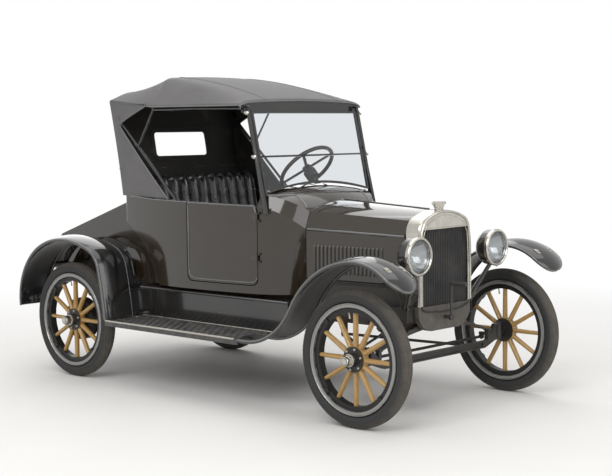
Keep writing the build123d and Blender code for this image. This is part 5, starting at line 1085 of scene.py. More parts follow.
# Round the section of a pane's frame: how far it grows, or None for its inner edge, and how far
# ahead of the windshield's plane it lies
PANE_SECTION = (
    (0.0, 0.0055), (0.0015, 0.007), (None, 0.007), (None, -0.007), (0.0015, -0.007), (0.0, -0.0055),
)
# A thumbscrew: radius and distance out
KNOB = (
    (0.0, 0.0), (0.013, 0.0), (0.013, 0.006), (0.009, 0.009),
    (0.011, 0.013), (0.009, 0.017), (0.0, 0.018),
)
# A post's heights, its half width, its half depths at its foot and above, and its section as
# shares of its half width and half depth
POST_HEAD = POST_HIGH - 0.005
POST_HEIGHTS = (
    POST_LOW, POST_LOW + 0.004, -0.060, 0.0, 0.15, 0.35, POST_HIGH - 0.016, POST_HEAD, POST_HIGH,
)
POST_HALF = 0.0105
POST_DEEP_FOOT, POST_DEEP_HEAD = 0.019, 0.0105
POST_SECTION = (
    (-1.0, -0.82), (-0.82, -1.0), (-0.82, 1.0), (-1.0, 0.82),
    (1.0, 0.82), (0.82, 1.0), (0.82, -1.0), (1.0, -0.82),
)
# Where the arms between the posts and the frame stand, up the windshield and across
ARM_HEIGHTS = (0.012, SHIELD_SPLIT - 0.020, SHIELD_SPLIT + 0.020, SHIELD_TALL - 0.012)
ARM_MIDDLE = 0.482


def shield_point(up, across, out):
    """A place on the windshield: up it, across the car and forward of it."""
    lean_sin, lean_cos = math.sin(SHIELD_LEAN), math.cos(SHIELD_LEAN)
    x = SHIELD_FOOT[0] - lean_sin * up + lean_cos * out
    return Vector((x, across, SHIELD_FOOT[1] + lean_cos * up + lean_sin * out))


def pane_outline(low, high, arch, inset, low_inset, high_inset):
    """The outline of a pane as (up, across), drawn in by its insets; its low edge may be arched."""
    half = SHIELD_HALF - inset
    steps = 16
    points = [(high - high_inset, mixed(half, -half, step / steps)) for step in range(steps + 1)]
    for step in range(1, 6):
        points.append((mixed(high - high_inset, low + low_inset, step / 6), -half))
    for step in range(steps + 1):
        across = mixed(-half, half, step / steps)
        rise = arch * (1 - (across / half) ** 2)
        points.append((low + low_inset + rise, across))
    for step in range(1, 6):
        points.append((mixed(low + low_inset, high - high_inset, step / 6), half))
    return points


class RUNABOUT_OT_windshield(bpy.types.Operator):
    """Make the windshield's two framed panes, its posts, arms and thumbscrews"""

    bl_idname = "runabout.windshield"
    bl_label = "Windshield"

    def execute(self, context):
        frames, panes = [], []
        for low, high, arch, low_inset, high_inset in (
            (0.0, SHIELD_SPLIT - 0.0005, SHIELD_ARCH, SHIELD_BAR, PANE_EDGE),
            (SHIELD_SPLIT + 0.0005, SHIELD_TALL, 0.0, PANE_EDGE, SHIELD_BAR),
        ):
            insets = (SHIELD_BAR, low_inset, high_inset)
            loops = []
            for grow, out in PANE_SECTION:
                outline = pane_outline(low, high, arch, *(insets if grow is None else (grow,) * 3))
                loops.append([shield_point(up, across, out) for up, across in outline])
            frames.append(grid_mesh(loops, close_rows=True, close_columns=True))
            inner = pane_outline(low, high, arch, *(inset - 0.001 for inset in insets))
            faces = []
            for out in (PANE_THICK / 2, -PANE_THICK / 2):
                faces.append([shield_point(up, across, out) for up, across in inner])
            panes.append(capped(grid_mesh(faces, close_columns=True), len(inner)))
        bright = []
        for side in (-1, 1):
            frames += self.post(side)
            knob = [(radius, side * along) for radius, along in KNOB]
            for up in (SHIELD_SPLIT, SHIELD_TALL - 0.012):
                centre = shield_point(up, side * (POST_MIDDLE + 0.010), 0.0)
                bright.append(turned_mesh(centre, knob, 20))
                wing = centre + Vector((0, side * 0.015, 0))
                bright.append(block_mesh(wing, (0.030, 0.005, 0.014), tilt=0.5))
        rails = add_piece(
            "windshield_rails", frames, "chassis", "fender_paint", "fender", sharp=30.0
        )
        glass = add_piece("windshield_panes", panes, "chassis", "window_glass", "window")
        add_piece("windshield_screws", bright, "chassis", "bright_metal", "nickel")
        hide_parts("windshield_frame")
        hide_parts("windshield_glass")
        return {"FINISHED"}

    def post(self, side):
        """A post with a rounded head that widens toward its foot, and its four arms."""
        rows = []
        for up in POST_HEIGHTS:
            deep = mixed(POST_DEEP_FOOT, POST_DEEP_HEAD, smooth_step((up - POST_LOW) / 0.30))
            if up >= POST_HEAD:
                deep *= 0.75
            rows.append(
                [
                    shield_point(up, side * (POST_MIDDLE + POST_HALF * across), deep * out)
                    for across, out in POST_SECTION
                ]
            )
        meshes = [capped(grid_mesh(rows, close_columns=True), len(POST_SECTION))]
        for up in ARM_HEIGHTS:
            place = shield_point(up, side * ARM_MIDDLE, 0.0)
            meshes.append(block_mesh(place, (0.010, 0.026, 0.014), tilt=-SHIELD_LEAN))
        return meshes


# Heights of the hood's hinge strips at both ends, the belt bead's ends, and the beads' radii
HINGE_REAR_Z, HINGE_FRONT_Z = 1.057, 1.036
BELT_REAR_X, BELT_FRONT_X = -0.874, 0.590
DOOR_BEAD, RIM_BEAD, APRON_BEAD, HINGE_STRIP = 0.0042, 0.0062, 0.0065, 0.0072
# Radius of the door beads' lower corners
DOOR_CORNER = 0.055


def surface_of(node):
    """A CAD node's surface, to be hit by rays."""
    mesh = NODES[node].data
    faces = [tuple(face.vertices) for face in mesh.polygons]
    return BVHTree.FromPolygons([v.co for v in mesh.vertices], faces)


def side_hit(surface, x, z, side, stand=0.0):
    """Where a body's side is at a station and height, stood off outward."""
    place = surface.ray_cast(Vector((x, side * 1.2, z)), Vector((0, -side, 0)))[0]
    return None if place is None or abs(place.y) < 0.3 else place + Vector((0, side * stand, 0))


def rim_hit(surface, x, side, inward=0.004):
    """The top of a body's side wall at a station, a little in from its outer face."""
    edge = None
    z = 1.10
    while z < 1.26:
        place = side_hit(surface, x, z, side)
        edge = place or edge
        z += 0.002
    return None if edge is None else edge + Vector((0, -side * inward, 0.0))


def rim_line(surface, start, end, side, steps):
    """The top of a body's side wall from a station to another, where it is found."""
    line = [rim_hit(surface, mixed(start, end, step / steps), side) for step in range(steps + 1)]
    return [point for point in line if point]


class RUNABOUT_OT_mouldings(bpy.types.Operator):
    """Add the beads round the doors, along the belt and aprons, and the hood's hinge strips"""

    bl_idname = "runabout.mouldings"
    bl_label = "Body Mouldings"

    def execute(self, context):
        # Every bead and hinge strip here takes the bead finish, whose paler enamel is a painted
        # highlight
        fixed = []
        walls = {node: surface_of(node) for node in ("body_tub", "cowl", "door_right", "door_left")}
        apron_low, apron_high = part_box("splash_aprons")
        for name, side in SIDES:
            low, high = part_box(f"door_{name}")
            door = walls[f"door_{name}"]
            line = [side_hit(door, x, z, side, 0.0008) for x, z in self.outline(low, high)]
            rim = rim_line(door, low.x + 0.004, high.x - 0.004, side, 16)
            beads = [
                tube_mesh([point for point in line if point], DOOR_BEAD, around=8),
                tube_mesh(rim, RIM_BEAD),
            ]
            add_piece(f"door_mouldings_{name}", beads, f"{name}_door", "body_paint", "bead")
            for node, start, end in (
                ("body_tub", BELT_REAR_X, low.x - 0.006),
                ("cowl", high.x + 0.006, BELT_FRONT_X),
            ):
                rim = rim_line(walls[node], start, end, side, 14)
                if len(rim) > 3:
                    fixed.append(tube_mesh(rim, RIM_BEAD))
            edge = []
            for step in range(9):
                x = mixed(apron_low.x + 0.002, apron_high.x - 0.004, step / 8)
                edge.append((x, side * (APRON_HALF - 0.005), FRAME_TOP - 0.002))
            fixed.append(tube_mesh(edge, APRON_BEAD, around=12))
            hinge = []
            for x, share in ((HOOD_REAR_X + 0.006, 0.01), (HOOD_FRONT_X - 0.006, 0.99)):
                z = mixed(HINGE_REAR_Z, HINGE_FRONT_Z, share)
                hinge.append((x, side * (hood_half(x) - 0.0005), z))
            strip = tube_mesh(hinge, HINGE_STRIP, around=14)
            add_piece(f"hood_hinge_{name}", strip, f"hood_{name}_top", "body_paint", "bead")
        add_piece("body_mouldings", fixed, "chassis", "body_paint", "bead")
        return {"FINISHED"}

    def outline(self, low, high):
        """The bead's line down a door's rear edge, along its foot and up its front, as (x, z)."""
        left, right, bottom, top = low.x + 0.012, high.x - 0.012, low.z + 0.014, high.z - 0.022
        cut = DOOR_CORNER
        turns = [math.radians(15 * step) for step in range(7)]
        line = [(left, top), (left, bottom + cut)]
        for turn in turns[1:]:
            line.append((left + cut * (1 - math.cos(turn)), bottom + cut * (1 - math.sin(turn))))
        line += [(mixed(left + cut, right - cut, step / 12), bottom) for step in range(1, 12)]
        for turn in turns:
            line.append((right - cut * (1 - math.sin(turn)), bottom + cut * (1 - math.cos(turn))))
        return line + [(right, top)]


# The folding top's bows from the rear: station, height of the eave, half width and height of the
# shoulder, and height of the crown
TOP_BOWS = (
    (-0.991, 1.868, 0.420, 1.916, 1.946),
    (-0.554, 1.824, 0.420, 2.001, 2.014),
    (0.278, 1.820, 0.500, 1.838, 1.852),
)
# How deep the cloth sags behind the middle bow and ahead of it
SAG_REAR, SAG_FRONT = 0.026, -0.030
TOP_HALF = 0.548
BOW_RADIUS = 0.009
SOCKET_Y = TOP_HALF - 0.014
# Where the top's sockets pivot on the tub's rim: station and height
TOP_PIVOT = (REAR_X + 0.845, BODY_BOTTOM + 0.511)
# The hem under the eaves and the foot of the rear curtain
TOP_HEM = 0.012
CURTAIN_FOOT = (-0.884, 1.2306)
CURTAIN_FOOT_HALF = 0.534
# The side flaps' front edge: its upper end, its corner and its foot
QUARTER_END_X = -0.612
QUARTER_CORNER = (-0.891, 1.699)
SAIL_FOOT = (-0.409, 1.2165)
WINDOW_HALF = 0.242
WINDOW_LOW, WINDOW_HIGH = 1.475, 1.655
# Places across the top as shares of its half width, from the eave to the middle
TOP_SHARES = (
    1.0, 0.985, 0.955, 0.91, 0.85, 0.79, 0.74, 0.68, 0.60, 0.51, 0.42, 0.32, 0.21, 0.10, 0.0,
)
# The share from which a curtain row narrows with the curtain
NARROW_SHARE = 0.42
CURTAIN_HEIGHTS = (
    1.835, 1.815, 1.785, 1.745, 1.699, 1.655, 1.610, 1.565,
    1.520, 1.475, 1.430, 1.385, 1.340, 1.295, 1.260,
)
# Stations of the cloth close round the middle bow
MIDDLE_STATIONS = (-0.592, -0.575, -0.562, -0.554, -0.546, -0.530, -0.490)
# The seams' places across at the rear and the front, their heights down the curtain, and its fold
SEAM_REAR_Y, SEAM_FRONT_Y = 0.292, 0.330
SEAM_HEIGHTS = (1.86, 1.80, 1.7, 1.6, 1.5, 1.4, 1.3, 1.235)
FOLD_Z = 1.405
FOLD_PLACES = (-0.538, -0.4, -0.3, -0.2, -0.1, 0.0, 0.1, 0.2, 0.3, 0.4, 0.538)
# The bows' feet and rails under the eaves, and the front header's section about its bow
FOOT_DROP, RAIL_DROP = 0.038, 0.032
HEADER_REAR, HEADER_FRONT, HEADER_DROP = -0.011, 0.007, 0.057
# The window surround's section: how far its outline grows, and how far ahead of the curtain it lies
SURROUND = (
    (0.024, -0.001), (0.023, -0.004), (0.0, -0.004), (-0.006, -0.002),
    (-0.006, 0.006), (0.0, 0.008), (0.023, 0.008), (0.024, 0.005),
)


def hump(share):
    """A half wave over the shares from 0 to 1."""
    return math.sin(math.pi * min(max(share, 0.0), 1.0))


def mirrored(right):
    """A row across the car from its right half, whose last point is in the middle."""
    return right + [Vector((point.x, -point.y, point.z)) for point in reversed(right[:-1])]


def bow_sizes(x):
    """The top's sizes at a station, and how deep its cloth sags there."""
    rear, middle_bow, front = TOP_BOWS
    behind = x < middle_bow[0]
    first, second = (rear, middle_bow) if behind else (middle_bow, front)
    share = (x - first[0]) / (second[0] - first[0])
    sag = (SAG_REAR if behind else SAG_FRONT) * hump(share) ** 0.8
    return *(mixed(a, b, share) for a, b in zip(first[1:], second[1:])), sag


def roof_height(x, y):
    """Height of the top's cloth over a place."""
    eave, shoulder, shoulder_z, crown, sag = bow_sizes(x)

    def plain(across):
        across = min(abs(across), TOP_HALF)
        if across <= shoulder:
            return crown - (crown - shoulder_z) * (across / shoulder) ** 2
        return mixed(shoulder_z, eave, (across - shoulder) / (TOP_HALF - shoulder))

    reach = min(0.030, TOP_HALF - abs(y))
    height = sum(plain(abs(y) + reach * step / 3) for step in range(-3, 4)) / 7
    return height - sag * (1 - (abs(y) / TOP_HALF) ** 4)


def top_row(x):
    """The cloth across the car at a station, from the right hem over the roof to the left hem."""
    eave = bow_sizes(x)[0]
    row = [Vector((x, -TOP_HALF, eave - TOP_HEM)), Vector((x, -TOP_HALF, eave - TOP_HEM * 0.45))]
    for share in TOP_SHARES:
        y = share * TOP_HALF
        row.append(Vector((x, -y, roof_height(x, y) - 0.001)))
    return mirrored(row)


def curtain_x(z, y=0.0):
    """Station of the rear curtain at a height and across; its middle hangs a little forward."""
    rear = TOP_BOWS[0]
    share = (rear[1] - z) / (rear[1] - CURTAIN_FOOT[1])
    lean = 0.008 + 0.034 * (1 - smooth_step((abs(y) - 0.25) / 0.27))
    return mixed(rear[0], CURTAIN_FOOT[0], share) + lean * hump(share)


def curtain_row(z):
    """The rear curtain across the car at a height, with as many points as a roof row."""
    x = curtain_x(z, TOP_HALF)
    eave = TOP_BOWS[0][1]
    half = mixed(TOP_HALF, CURTAIN_FOOT_HALF, (eave - z) / (eave - CURTAIN_FOOT[1]))
    row = [Vector((x, -half, z)), Vector((x - 0.001, -half + 0.004, z))]
    for share in TOP_SHARES:
        y = -share * TOP_HALF
        if share > NARROW_SHARE:
            outer = (share - NARROW_SHARE) / (1 - NARROW_SHARE)
            y = -mixed(NARROW_SHARE * TOP_HALF, half - 0.009, outer)
        fold = 0.0025 * math.sin(y * 31.0 + z * 7.0) * math.sin(math.pi * (z - 1.20) / 0.65)
        row.append(Vector((curtain_x(z, y) - 0.001 + fold, y, z)))
    return mirrored(row)


def sail_edge(z):
    """Station of the side flap's front edge at a height."""
    corner_x, corner_z = QUARTER_CORNER
    if z >= corner_z:
        share = (z - corner_z) / (bow_sizes(QUARTER_END_X)[0] - TOP_HEM - corner_z)
        return mixed(corner_x, QUARTER_END_X, min(share, 1.0) ** 1.15)
    share = (corner_z - z) / (corner_z - SAIL_FOOT[1])
    return mixed(corner_x, SAIL_FOOT[0], share) - 0.010 * hump(share)


def sheet_mesh(grids):
    """One sheet out of grids of points whose shared edges are joined, facing up."""
    points, faces = [], []
    for rows, skip in grids:
        start = len(points)
        count = len(rows[0])
        points.extend(tuple(point) for row in rows for point in row)
        for row in range(len(rows) - 1):
            for column in range(count - 1):
                if skip and skip(rows[row][column], rows[row + 1][column + 1]):
                    continue
                first = start + row * count + column
                faces.append((first, first + 1, first + count + 1, first + count))
    mesh = bpy.data.meshes.new("sheet")
    mesh.from_pydata(points, [], faces)
    work = bmesh.new()
    work.from_mesh(mesh)
    bmesh.ops.remove_doubles(work, verts=work.verts, dist=0.0006)
    bmesh.ops.recalc_face_normals(work, faces=work.faces)
    highest = max(work.faces, key=lambda face: face.calc_center_median().z)
    if highest.normal.z < 0:
        bmesh.ops.reverse_faces(work, faces=work.faces)
    work.to_mesh(mesh)
    work.free()
    return mesh


def in_window(low, high):
    """Whether a face of the curtain between two corners lies in the rear window."""
    inside = abs(low.y + high.y) / 2 < WINDOW_HALF
    return inside and WINDOW_LOW < (low.z + high.z) / 2 < WINDOW_HIGH


class RUNABOUT_OT_top(bpy.types.Operator):
    """Stretch the folding top's cloth over its bows, with its quarters, rear curtain and window"""

    bl_idname = "runabout.top"
    bl_label = "Folding Top"

    def execute(self, context):
        rear_x, front_x = TOP_BOWS[0][0], TOP_BOWS[2][0]
        stations = [mixed(rear_x, QUARTER_END_X, step / 9) for step in range(10)]
        stations += MIDDLE_STATIONS
        stations += [mixed(-0.440, front_x - 0.040, step / 16) for step in range(17)]
        stations += [front_x - 0.018, front_x - 0.006]
        roof = [top_row(x) for x in stations]
        last = top_row(front_x)
        front_edge = [point + Vector((0.001, 0, -0.012)) for point in last]
        roof += [[point - Vector((0, 0, 0.003)) for point in last], front_edge]
        curtain = [top_row(rear_x)] + [curtain_row(z) for z in (*CURTAIN_HEIGHTS, CURTAIN_FOOT[1])]
        grids = [(roof, None), (curtain, in_window)]
        edges = []
        for side, column in ((-1, 0), (1, -1)):
            rows = [[row[column].copy() for row in roof[:10]]]
            rows += [self.quarter_row(row[column], side, row is curtain[-1]) for row in curtain[1:]]
            grids.append((rows, None))
            hem = [row[column] for row in roof[9:]]
            edges.append([row[-1] for row in reversed(rows)][:-1] + hem)
        cloth = add_piece(
            "folding_top", sheet_mesh(grids), "chassis", "top_cloth", "cloth", "lining", sharp=60.0
        )
        smoothed(cloth, 2)
        thickened(cloth, sizes().cloth_thickness).material_offset = 1
        trims = self.trims((*edges, front_edge))
        binding = add_piece("top_binding", trims, "chassis", "top_cloth", "binding")
        window_frame = self.window_frame()
        bows = self.bows()
        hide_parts("top_cover")
        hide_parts("top_bows")
        return {"FINISHED"}

    def quarter_row(self, back, side, lowest):
        """Points from the curtain's edge forward to the side flap's, drawn in a little."""
        front = Vector((sail_edge(back.z), side * TOP_HALF, back.z))
        if lowest:
            front = Vector((SAIL_FOOT[0], side * TOP_HALF, SAIL_FOOT[1]))
        line = [mixed(back, front, step / 9) for step in range(10)]
        for step, place in enumerate(line):
            place.y -= side * 0.005 * hump(step / 9)
        return line

    def trims(self, edges):
        """The cloth's bound edges, its seams over the roof and down the curtain, and the fold."""
        rear_x, front_x = TOP_BOWS[0][0], TOP_BOWS[2][0]
        trims = [tube_mesh(edge, sizes().binding_radius) for edge in edges]
        for side in (-1, 1):
            seam = []
            for step in range(41):
                x = mixed(rear_x + 0.010, front_x, step / 40)
                y = side * mixed(SEAM_REAR_Y, SEAM_FRONT_Y, (x - rear_x) / (front_x - rear_x))
                seam.append(Vector((x, y, roof_height(x, y) - 0.0005)))
            trims.append(tube_mesh(seam, 0.0028, around=8))
            y = side * SEAM_REAR_Y
            drop = [(curtain_x(z, y) - 0.001, y, z) for z in SEAM_HEIGHTS]
            trims.append(tube_mesh(drop, 0.0026, around=8))
        fold = [(curtain_x(FOLD_Z, y) - 0.0015, y, FOLD_Z) for y in FOLD_PLACES]
        return trims + [tube_mesh(fold, 0.0026, around=8)]

    def bows(self):
        """Three bent bows under the cloth, the header, side irons, pivots and the posts' shoes."""
        bars = []
        under = sizes().cloth_thickness + BOW_RADIUS + 0.001
        stations = (TOP_BOWS[0][0] + 0.026, TOP_BOWS[1][0], TOP_BOWS[2][0] - 0.016)
        for x in stations:
            foot_z = bow_sizes(x)[0] - FOOT_DROP
            arch = [(x, -SOCKET_Y, foot_z)]
            for step in range(25):
                y = mixed(-SOCKET_Y, SOCKET_Y, step / 24)
                arch.append((x, y, roof_height(x, y) - under - 0.006 * (abs(y) / SOCKET_Y) ** 6))
            arch.append((x, SOCKET_Y, foot_z))
            bars.append(tube_mesh(arch, BOW_RADIUS, around=12))
        header = []
        rear, front = stations[2] + HEADER_REAR, stations[2] + HEADER_FRONT
        low = TOP_BOWS[2][1] - HEADER_DROP
        for step in range(25):
            y = mixed(-SOCKET_Y + 0.020, SOCKET_Y - 0.020, step / 24)
            high = roof_height(stations[2], y) - under + BOW_RADIUS
            header.append([(rear, y, low), (front, y, low), (front, y, high), (rear, y, high)])
        bars.append(capped(grid_mesh(header, close_columns=True), 4))
        for side in (-1, 1):
            ends = [Vector((x, side * SOCKET_Y, bow_sizes(x)[0] - RAIL_DROP)) for x in stations]
            pivot = Vector((TOP_PIVOT[0], side * SOCKET_Y, TOP_PIVOT[1] + 0.050))
            elbow = Vector((QUARTER_CORNER[0] + 0.024, side * SOCKET_Y, QUARTER_CORNER[1]))
            brace = mixed(pivot, elbow, 0.70)
            rise = mixed(ends[1], ends[2], 0.5) + Vector((0, 0, 0.004))
            for line, grow in (
                ([pivot, elbow, ends[0]], 0.0),
                ([brace, ends[1]], -0.002),
                ([brace, mixed(pivot, elbow, 0.75)], 0.003),
                ([ends[1], rise, ends[2]], -0.002),
            ):
                bars.append(tube_mesh(line, BOW_RADIUS + grow, around=12))
            foot = Vector((TOP_PIVOT[0], side * (SOCKET_Y + 0.010), TOP_PIVOT[1] + 0.028))
            bars.append(block_mesh(foot, (0.036, 0.026, 0.056), 0.004))
            head = shield_point(POST_HIGH + 0.010, side * POST_MIDDLE, -0.006)
            bars.append(block_mesh(head, (0.046, 0.018, 0.014), 0.003))
        return add_piece("bow_set", bars, "chassis", "fender_paint", "fender")

    def window_frame(self):
        """A stitched surround with round corners, on both faces of the curtain."""
        loops = []
        for grow, out in SURROUND:
            half, radius = WINDOW_HALF - 0.004 + grow, 0.028 + grow
            low, high = WINDOW_LOW + 0.004 - grow, WINDOW_HIGH - 0.004 + grow
            ring = []
            for quarter, (across, up) in enumerate(((1, 1), (-1, 1), (-1, -1), (1, -1))):
                corner_y = across * (half - radius)
                corner_z = high - radius if up > 0 else low + radius
                for step in range(7):
                    turn = math.radians(90 * quarter + 15 * step)
                    y, z = corner_y + radius * math.cos(turn), corner_z + radius * math.sin(turn)
                    ring.append((curtain_x(z, y) + out, y, z))
            loops.append(ring)
        surround = grid_mesh(loops + loops[:1], close_columns=True)
        return add_piece("window_surround", surround, "chassis", "top_cloth", "lining")


# The seat's pads: points across a pleat, the radius of a pad's ends, how much pleats differ, how
# square they are, and the height of the wrinkles
PLEAT_POINTS = 14
PAD_END = 0.034
PLEAT_UNEVEN, PLEAT_SQUARE = 0.16, 0.42
PAD_WRINKLE = 0.0016


def pleated_pad(profile, half, pleats, rise, lean=0.0):
    """A closed pad across the car with round ends.

    Its profile has points (x, z, weight), and the weight says how far the pleats work there.
    """
    count = len(profile)
    normals = []
    for index in range(count):
        before, after = profile[index - 1], profile[(index + 1) % count]
        along = Vector((after[0] - before[0], after[1] - before[1])).normalized()
        normals.append(Vector((along.y, -along.x)))
    total = pleats * PLEAT_POINTS
    rows = []
    for station in range(total + 1):
        share = station / total
        y = mixed(-half, half, share)
        phase = share * pleats
        number = math.floor(min(phase, pleats - 1e-6))
        uneven = 1 + PLEAT_UNEVEN * math.sin(number * 12.9898 + 1.3)
        swell = abs(math.sin(math.pi * phase)) ** PLEAT_SQUARE
        into = min(y + half, half - y)
        inset = PAD_END - math.sqrt(max(PAD_END**2 - max(PAD_END - into, 0.0) ** 2, 0.0))
        row = []
        for (x, z, weight), normal in zip(profile, normals):
            out = -rise * weight * (1 - swell * min(uneven, 1.1)) - inset
            folds = math.sin(z * 61 + number * 2.1) * math.sin(x * 47 + number * 1.7)
            place = Vector((x, z)) + normal * (out + PAD_WRINKLE * weight * folds)
            shift = lean * (z - profile[0][1]) * weight * swell
            row.append(Vector((place.x, y + shift, place.y)))
        rows.append(row)
    mesh = grid_mesh(rows, close_columns=True)
    points = [tuple(v.co) for v in mesh.vertices]
    faces = [tuple(face.vertices) for face in mesh.polygons]
    for start, order in ((0, 1), (len(points) - count, -1)):
        row = list(range(start, start + count))[::order]
        centre = len(points)
        points.append(tuple(sum((Vector(points[index]) for index in row), Vector()) / count))
        faces += [(row[index], row[(index + 1) % count], centre) for index in range(count)]
    mesh.clear_geometry()
    mesh.from_pydata(points, [], faces)
    return outward(mesh)


def smooth_profile(corners, radius, steps=6):
    """Round the corners (x, z, weight, rounding) of a closed outline into (x, z, weight) points."""
    points = []
    count = len(corners)
    for index, (x, z, weight, rounding) in enumerate(corners):
        here = Vector((x, z))
        before, after = Vector(corners[index - 1][:2]), Vector(corners[(index + 1) % count][:2])
        back, ahead = before - here, after - here
        cut = min(radius * rounding, back.length * 0.45, ahead.length * 0.45)
        start, end = here + back.normalized() * cut, here + ahead.normalized() * cut
        for step in range(steps + 1):
            share = step / steps
            bent = start * (1 - share) ** 2 + here * 2 * share * (1 - share) + end * share**2
            points.append((bent.x, bent.y, weight))
        if ahead.length <= 3 * cut:
            continue
        next_weight = corners[(index + 1) % count][2]
        for share in (0.25, 0.50, 0.75):
            along = mixed(end, after + (here - after).normalized() * cut, share)
            points.append((along.x, along.y, mixed(weight, next_weight, share)))
    return points


class RUNABOUT_OT_seat(bpy.types.Operator):
    """Upholster the seat: a pleated cushion and a pleated back"""

    bl_idname = "runabout.seat"
    bl_label = "Seat"

    def execute(self, context):
        rise = sizes().pleat_rise
        low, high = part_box("seat_cushion")
        front_x, rear_x = high.x - 0.002, low.x + 0.002
        # Outlines from the bottom: x, z, pleat weight, corner rounding
        cushion = (
            (rear_x, low.z + 0.001, 0.0, 0.4),
            (rear_x, high.z - 0.030, 0.2, 0.8),
            (mixed(rear_x, front_x, 0.45), high.z - 0.012, 1.0, 1.0),
            (mixed(rear_x, front_x, 0.80), high.z - 0.001, 1.0, 1.0),
            (front_x + 0.002, high.z - 0.012, 0.9, 1.3),
            (front_x, low.z + 0.055, 0.25, 0.5),
            (front_x - 0.012, low.z + 0.001, 0.0, 0.4),
        )
        self.pad("seat_cushion", smooth_profile(cushion, 0.040), rise, 0.0)
        low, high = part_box("seat_back")
        back = (
            (high.x - 0.004, low.z + 0.001, 0.2, 0.6),
            (high.x - 0.010, mixed(low.z, high.z, 0.22), 1.0, 1.0),
            (high.x - 0.040, mixed(low.z, high.z, 0.70), 1.0, 1.0),
            (high.x - 0.060, high.z - 0.004, 1.0, 1.1),
            (low.x + 0.048, high.z - 0.001, 0.55, 1.1),
            (low.x + 0.002, low.z + 0.001, 0.0, 0.4),
        )
        self.pad("seat_back", smooth_profile(back, 0.060)[::-1], rise * 1.25, 0.03)
        return {"FINISHED"}

    def pad(self, node, profile, rise, lean):
        """One pleated pad in the place of its CAD node."""
        low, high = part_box(node)
        half = min(high.y, -low.y) - 0.002
        mesh = pleated_pad(profile, half, sizes().pleats, rise, lean)
        pad = add_piece(f"{node}_pleats", mesh, "chassis", "seat_leather", "leather")
        smoothed(pad, 1)
        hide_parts(node)


# The radiator's crown, its joint bar's height and half width, and the low edge of its beads
RADIATOR_CROWN = 1.183
BAR_Z, BAR_HALF = 1.079, 0.2165
BEAD_LOW = 0.640
# Its beads: half width, side's top, shoulder's half width and height, and crown
SHELL_ARCH = (0.2375, 1.030, 0.198, 1.117, 1.1735)
TANK_ARCH = (0.2180, 1.022, 0.176, 1.100, 1.1540)
# Shares of a core tube's width, and how far it stands out there
TUBE_SECTION = (
    (0.0, 0.0), (0.12, 0.001), (0.22, 0.008), (0.38, 0.012), (0.54, 0.008), (0.64, 0.001),
)
# The bead round the tank's foot: half width and depth
TANK_HALF, TANK_DEEP = 0.226, 0.052
# The filler cap: radius and height over the radiator's crown
FILLER_CAP = (
    (0.0, -0.004), (0.030, -0.004), (0.030, 0.003), (0.024, 0.006), (0.024, 0.012),
    (0.031, 0.014), (0.032, 0.017), (0.032, 0.026), (0.029, 0.029), (0.0, 0.031),
)


def oval_arch(half, side_top, shoulder, shoulder_z, crown, x):
    """Points of the radiator's arch from the right foot over the crown to the left foot."""
    steps = 12
    right = [(-half, BEAD_LOW), (-half, side_top), (-shoulder, shoulder_z)]
    for step in range(1, steps):
        share = 1 - step / steps
        right.append((-shoulder * share, crown - (crown - shoulder_z) * share**2.1))
    line = right + [(0.0, crown)] + [(-y, z) for y, z in reversed(right)]
    # Cut the corners three times, but leave the straight sides after the first
    for turn in range(3):
        softer = [line[0]]
        for (first_y, first_z), (y, z) in zip(line, line[1:]):
            if turn and abs(first_z - z) > 0.2:
                softer += [(first_y, first_z), (y, z)]
                continue
            for share in (0.25, 0.75):
                softer.append((mixed(first_y, y, share), mixed(first_z, z, share)))
        line = softer + [line[-1]]
    return [(x, y, z) for y, z in line]


class RUNABOUT_OT_radiator(bpy.types.Operator):
    """Give the radiator its upright tubes and fins, rolled beads and filler cap"""

    bl_idname = "runabout.radiator"
    bl_label = "Radiator"

    def execute(self, context):
        low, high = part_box("radiator_core")
        tubes = sizes().core_fins
        columns = []
        for tube in range(tubes):
            for share, depth in TUBE_SECTION:
                y = mixed(low.y + 0.001, high.y - 0.001, (tube + share) / tubes)
                columns.append((y, high.x + 0.003 + depth - 0.012))
        columns.append((high.y - 0.001, high.x - 0.009))
        heights = [mixed(low.z + 0.001, high.z - 0.001, step / 40) for step in range(41)]
        core = grid_mesh([[(x, y, z) for y, x in columns] for z in heights])
        add_piece("core_tubes", core, "chassis", "core_paint", "tubes", sharp=25.0)
        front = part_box("radiator_shell")[1].x
        bar = [(front - 0.002, y, BAR_Z) for y in (-BAR_HALF, 0.0, BAR_HALF)]
        trims = [
            tube_mesh(oval_arch(*SHELL_ARCH, front + 0.0005), 0.0065, around=12),
            tube_mesh(oval_arch(*TANK_ARCH, front - 0.001), 0.0035, around=8),
            tube_mesh(bar, 0.0065, around=12),
        ]
        edge = []
        for step in range(25):
            turn = math.radians(mixed(-89.0, 89.0, step / 24))
            z = BEAD_LOW - TANK_DEEP * math.cos(turn) ** 0.6
            edge.append((front + 0.001, TANK_HALF * math.sin(turn), z))
        add_piece("tank_edge", tube_mesh(edge, 0.0045), "chassis", "fender_paint", "chassis")
        foot = Vector((middle("radiator_shell").x, 0.0, RADIATOR_CROWN))
        trims.append(turned_mesh(foot, FILLER_CAP, 48, "Z"))
        add_piece("radiator_trim", trims, "chassis", "bright_metal", "nickel")
        return {"FINISHED"}


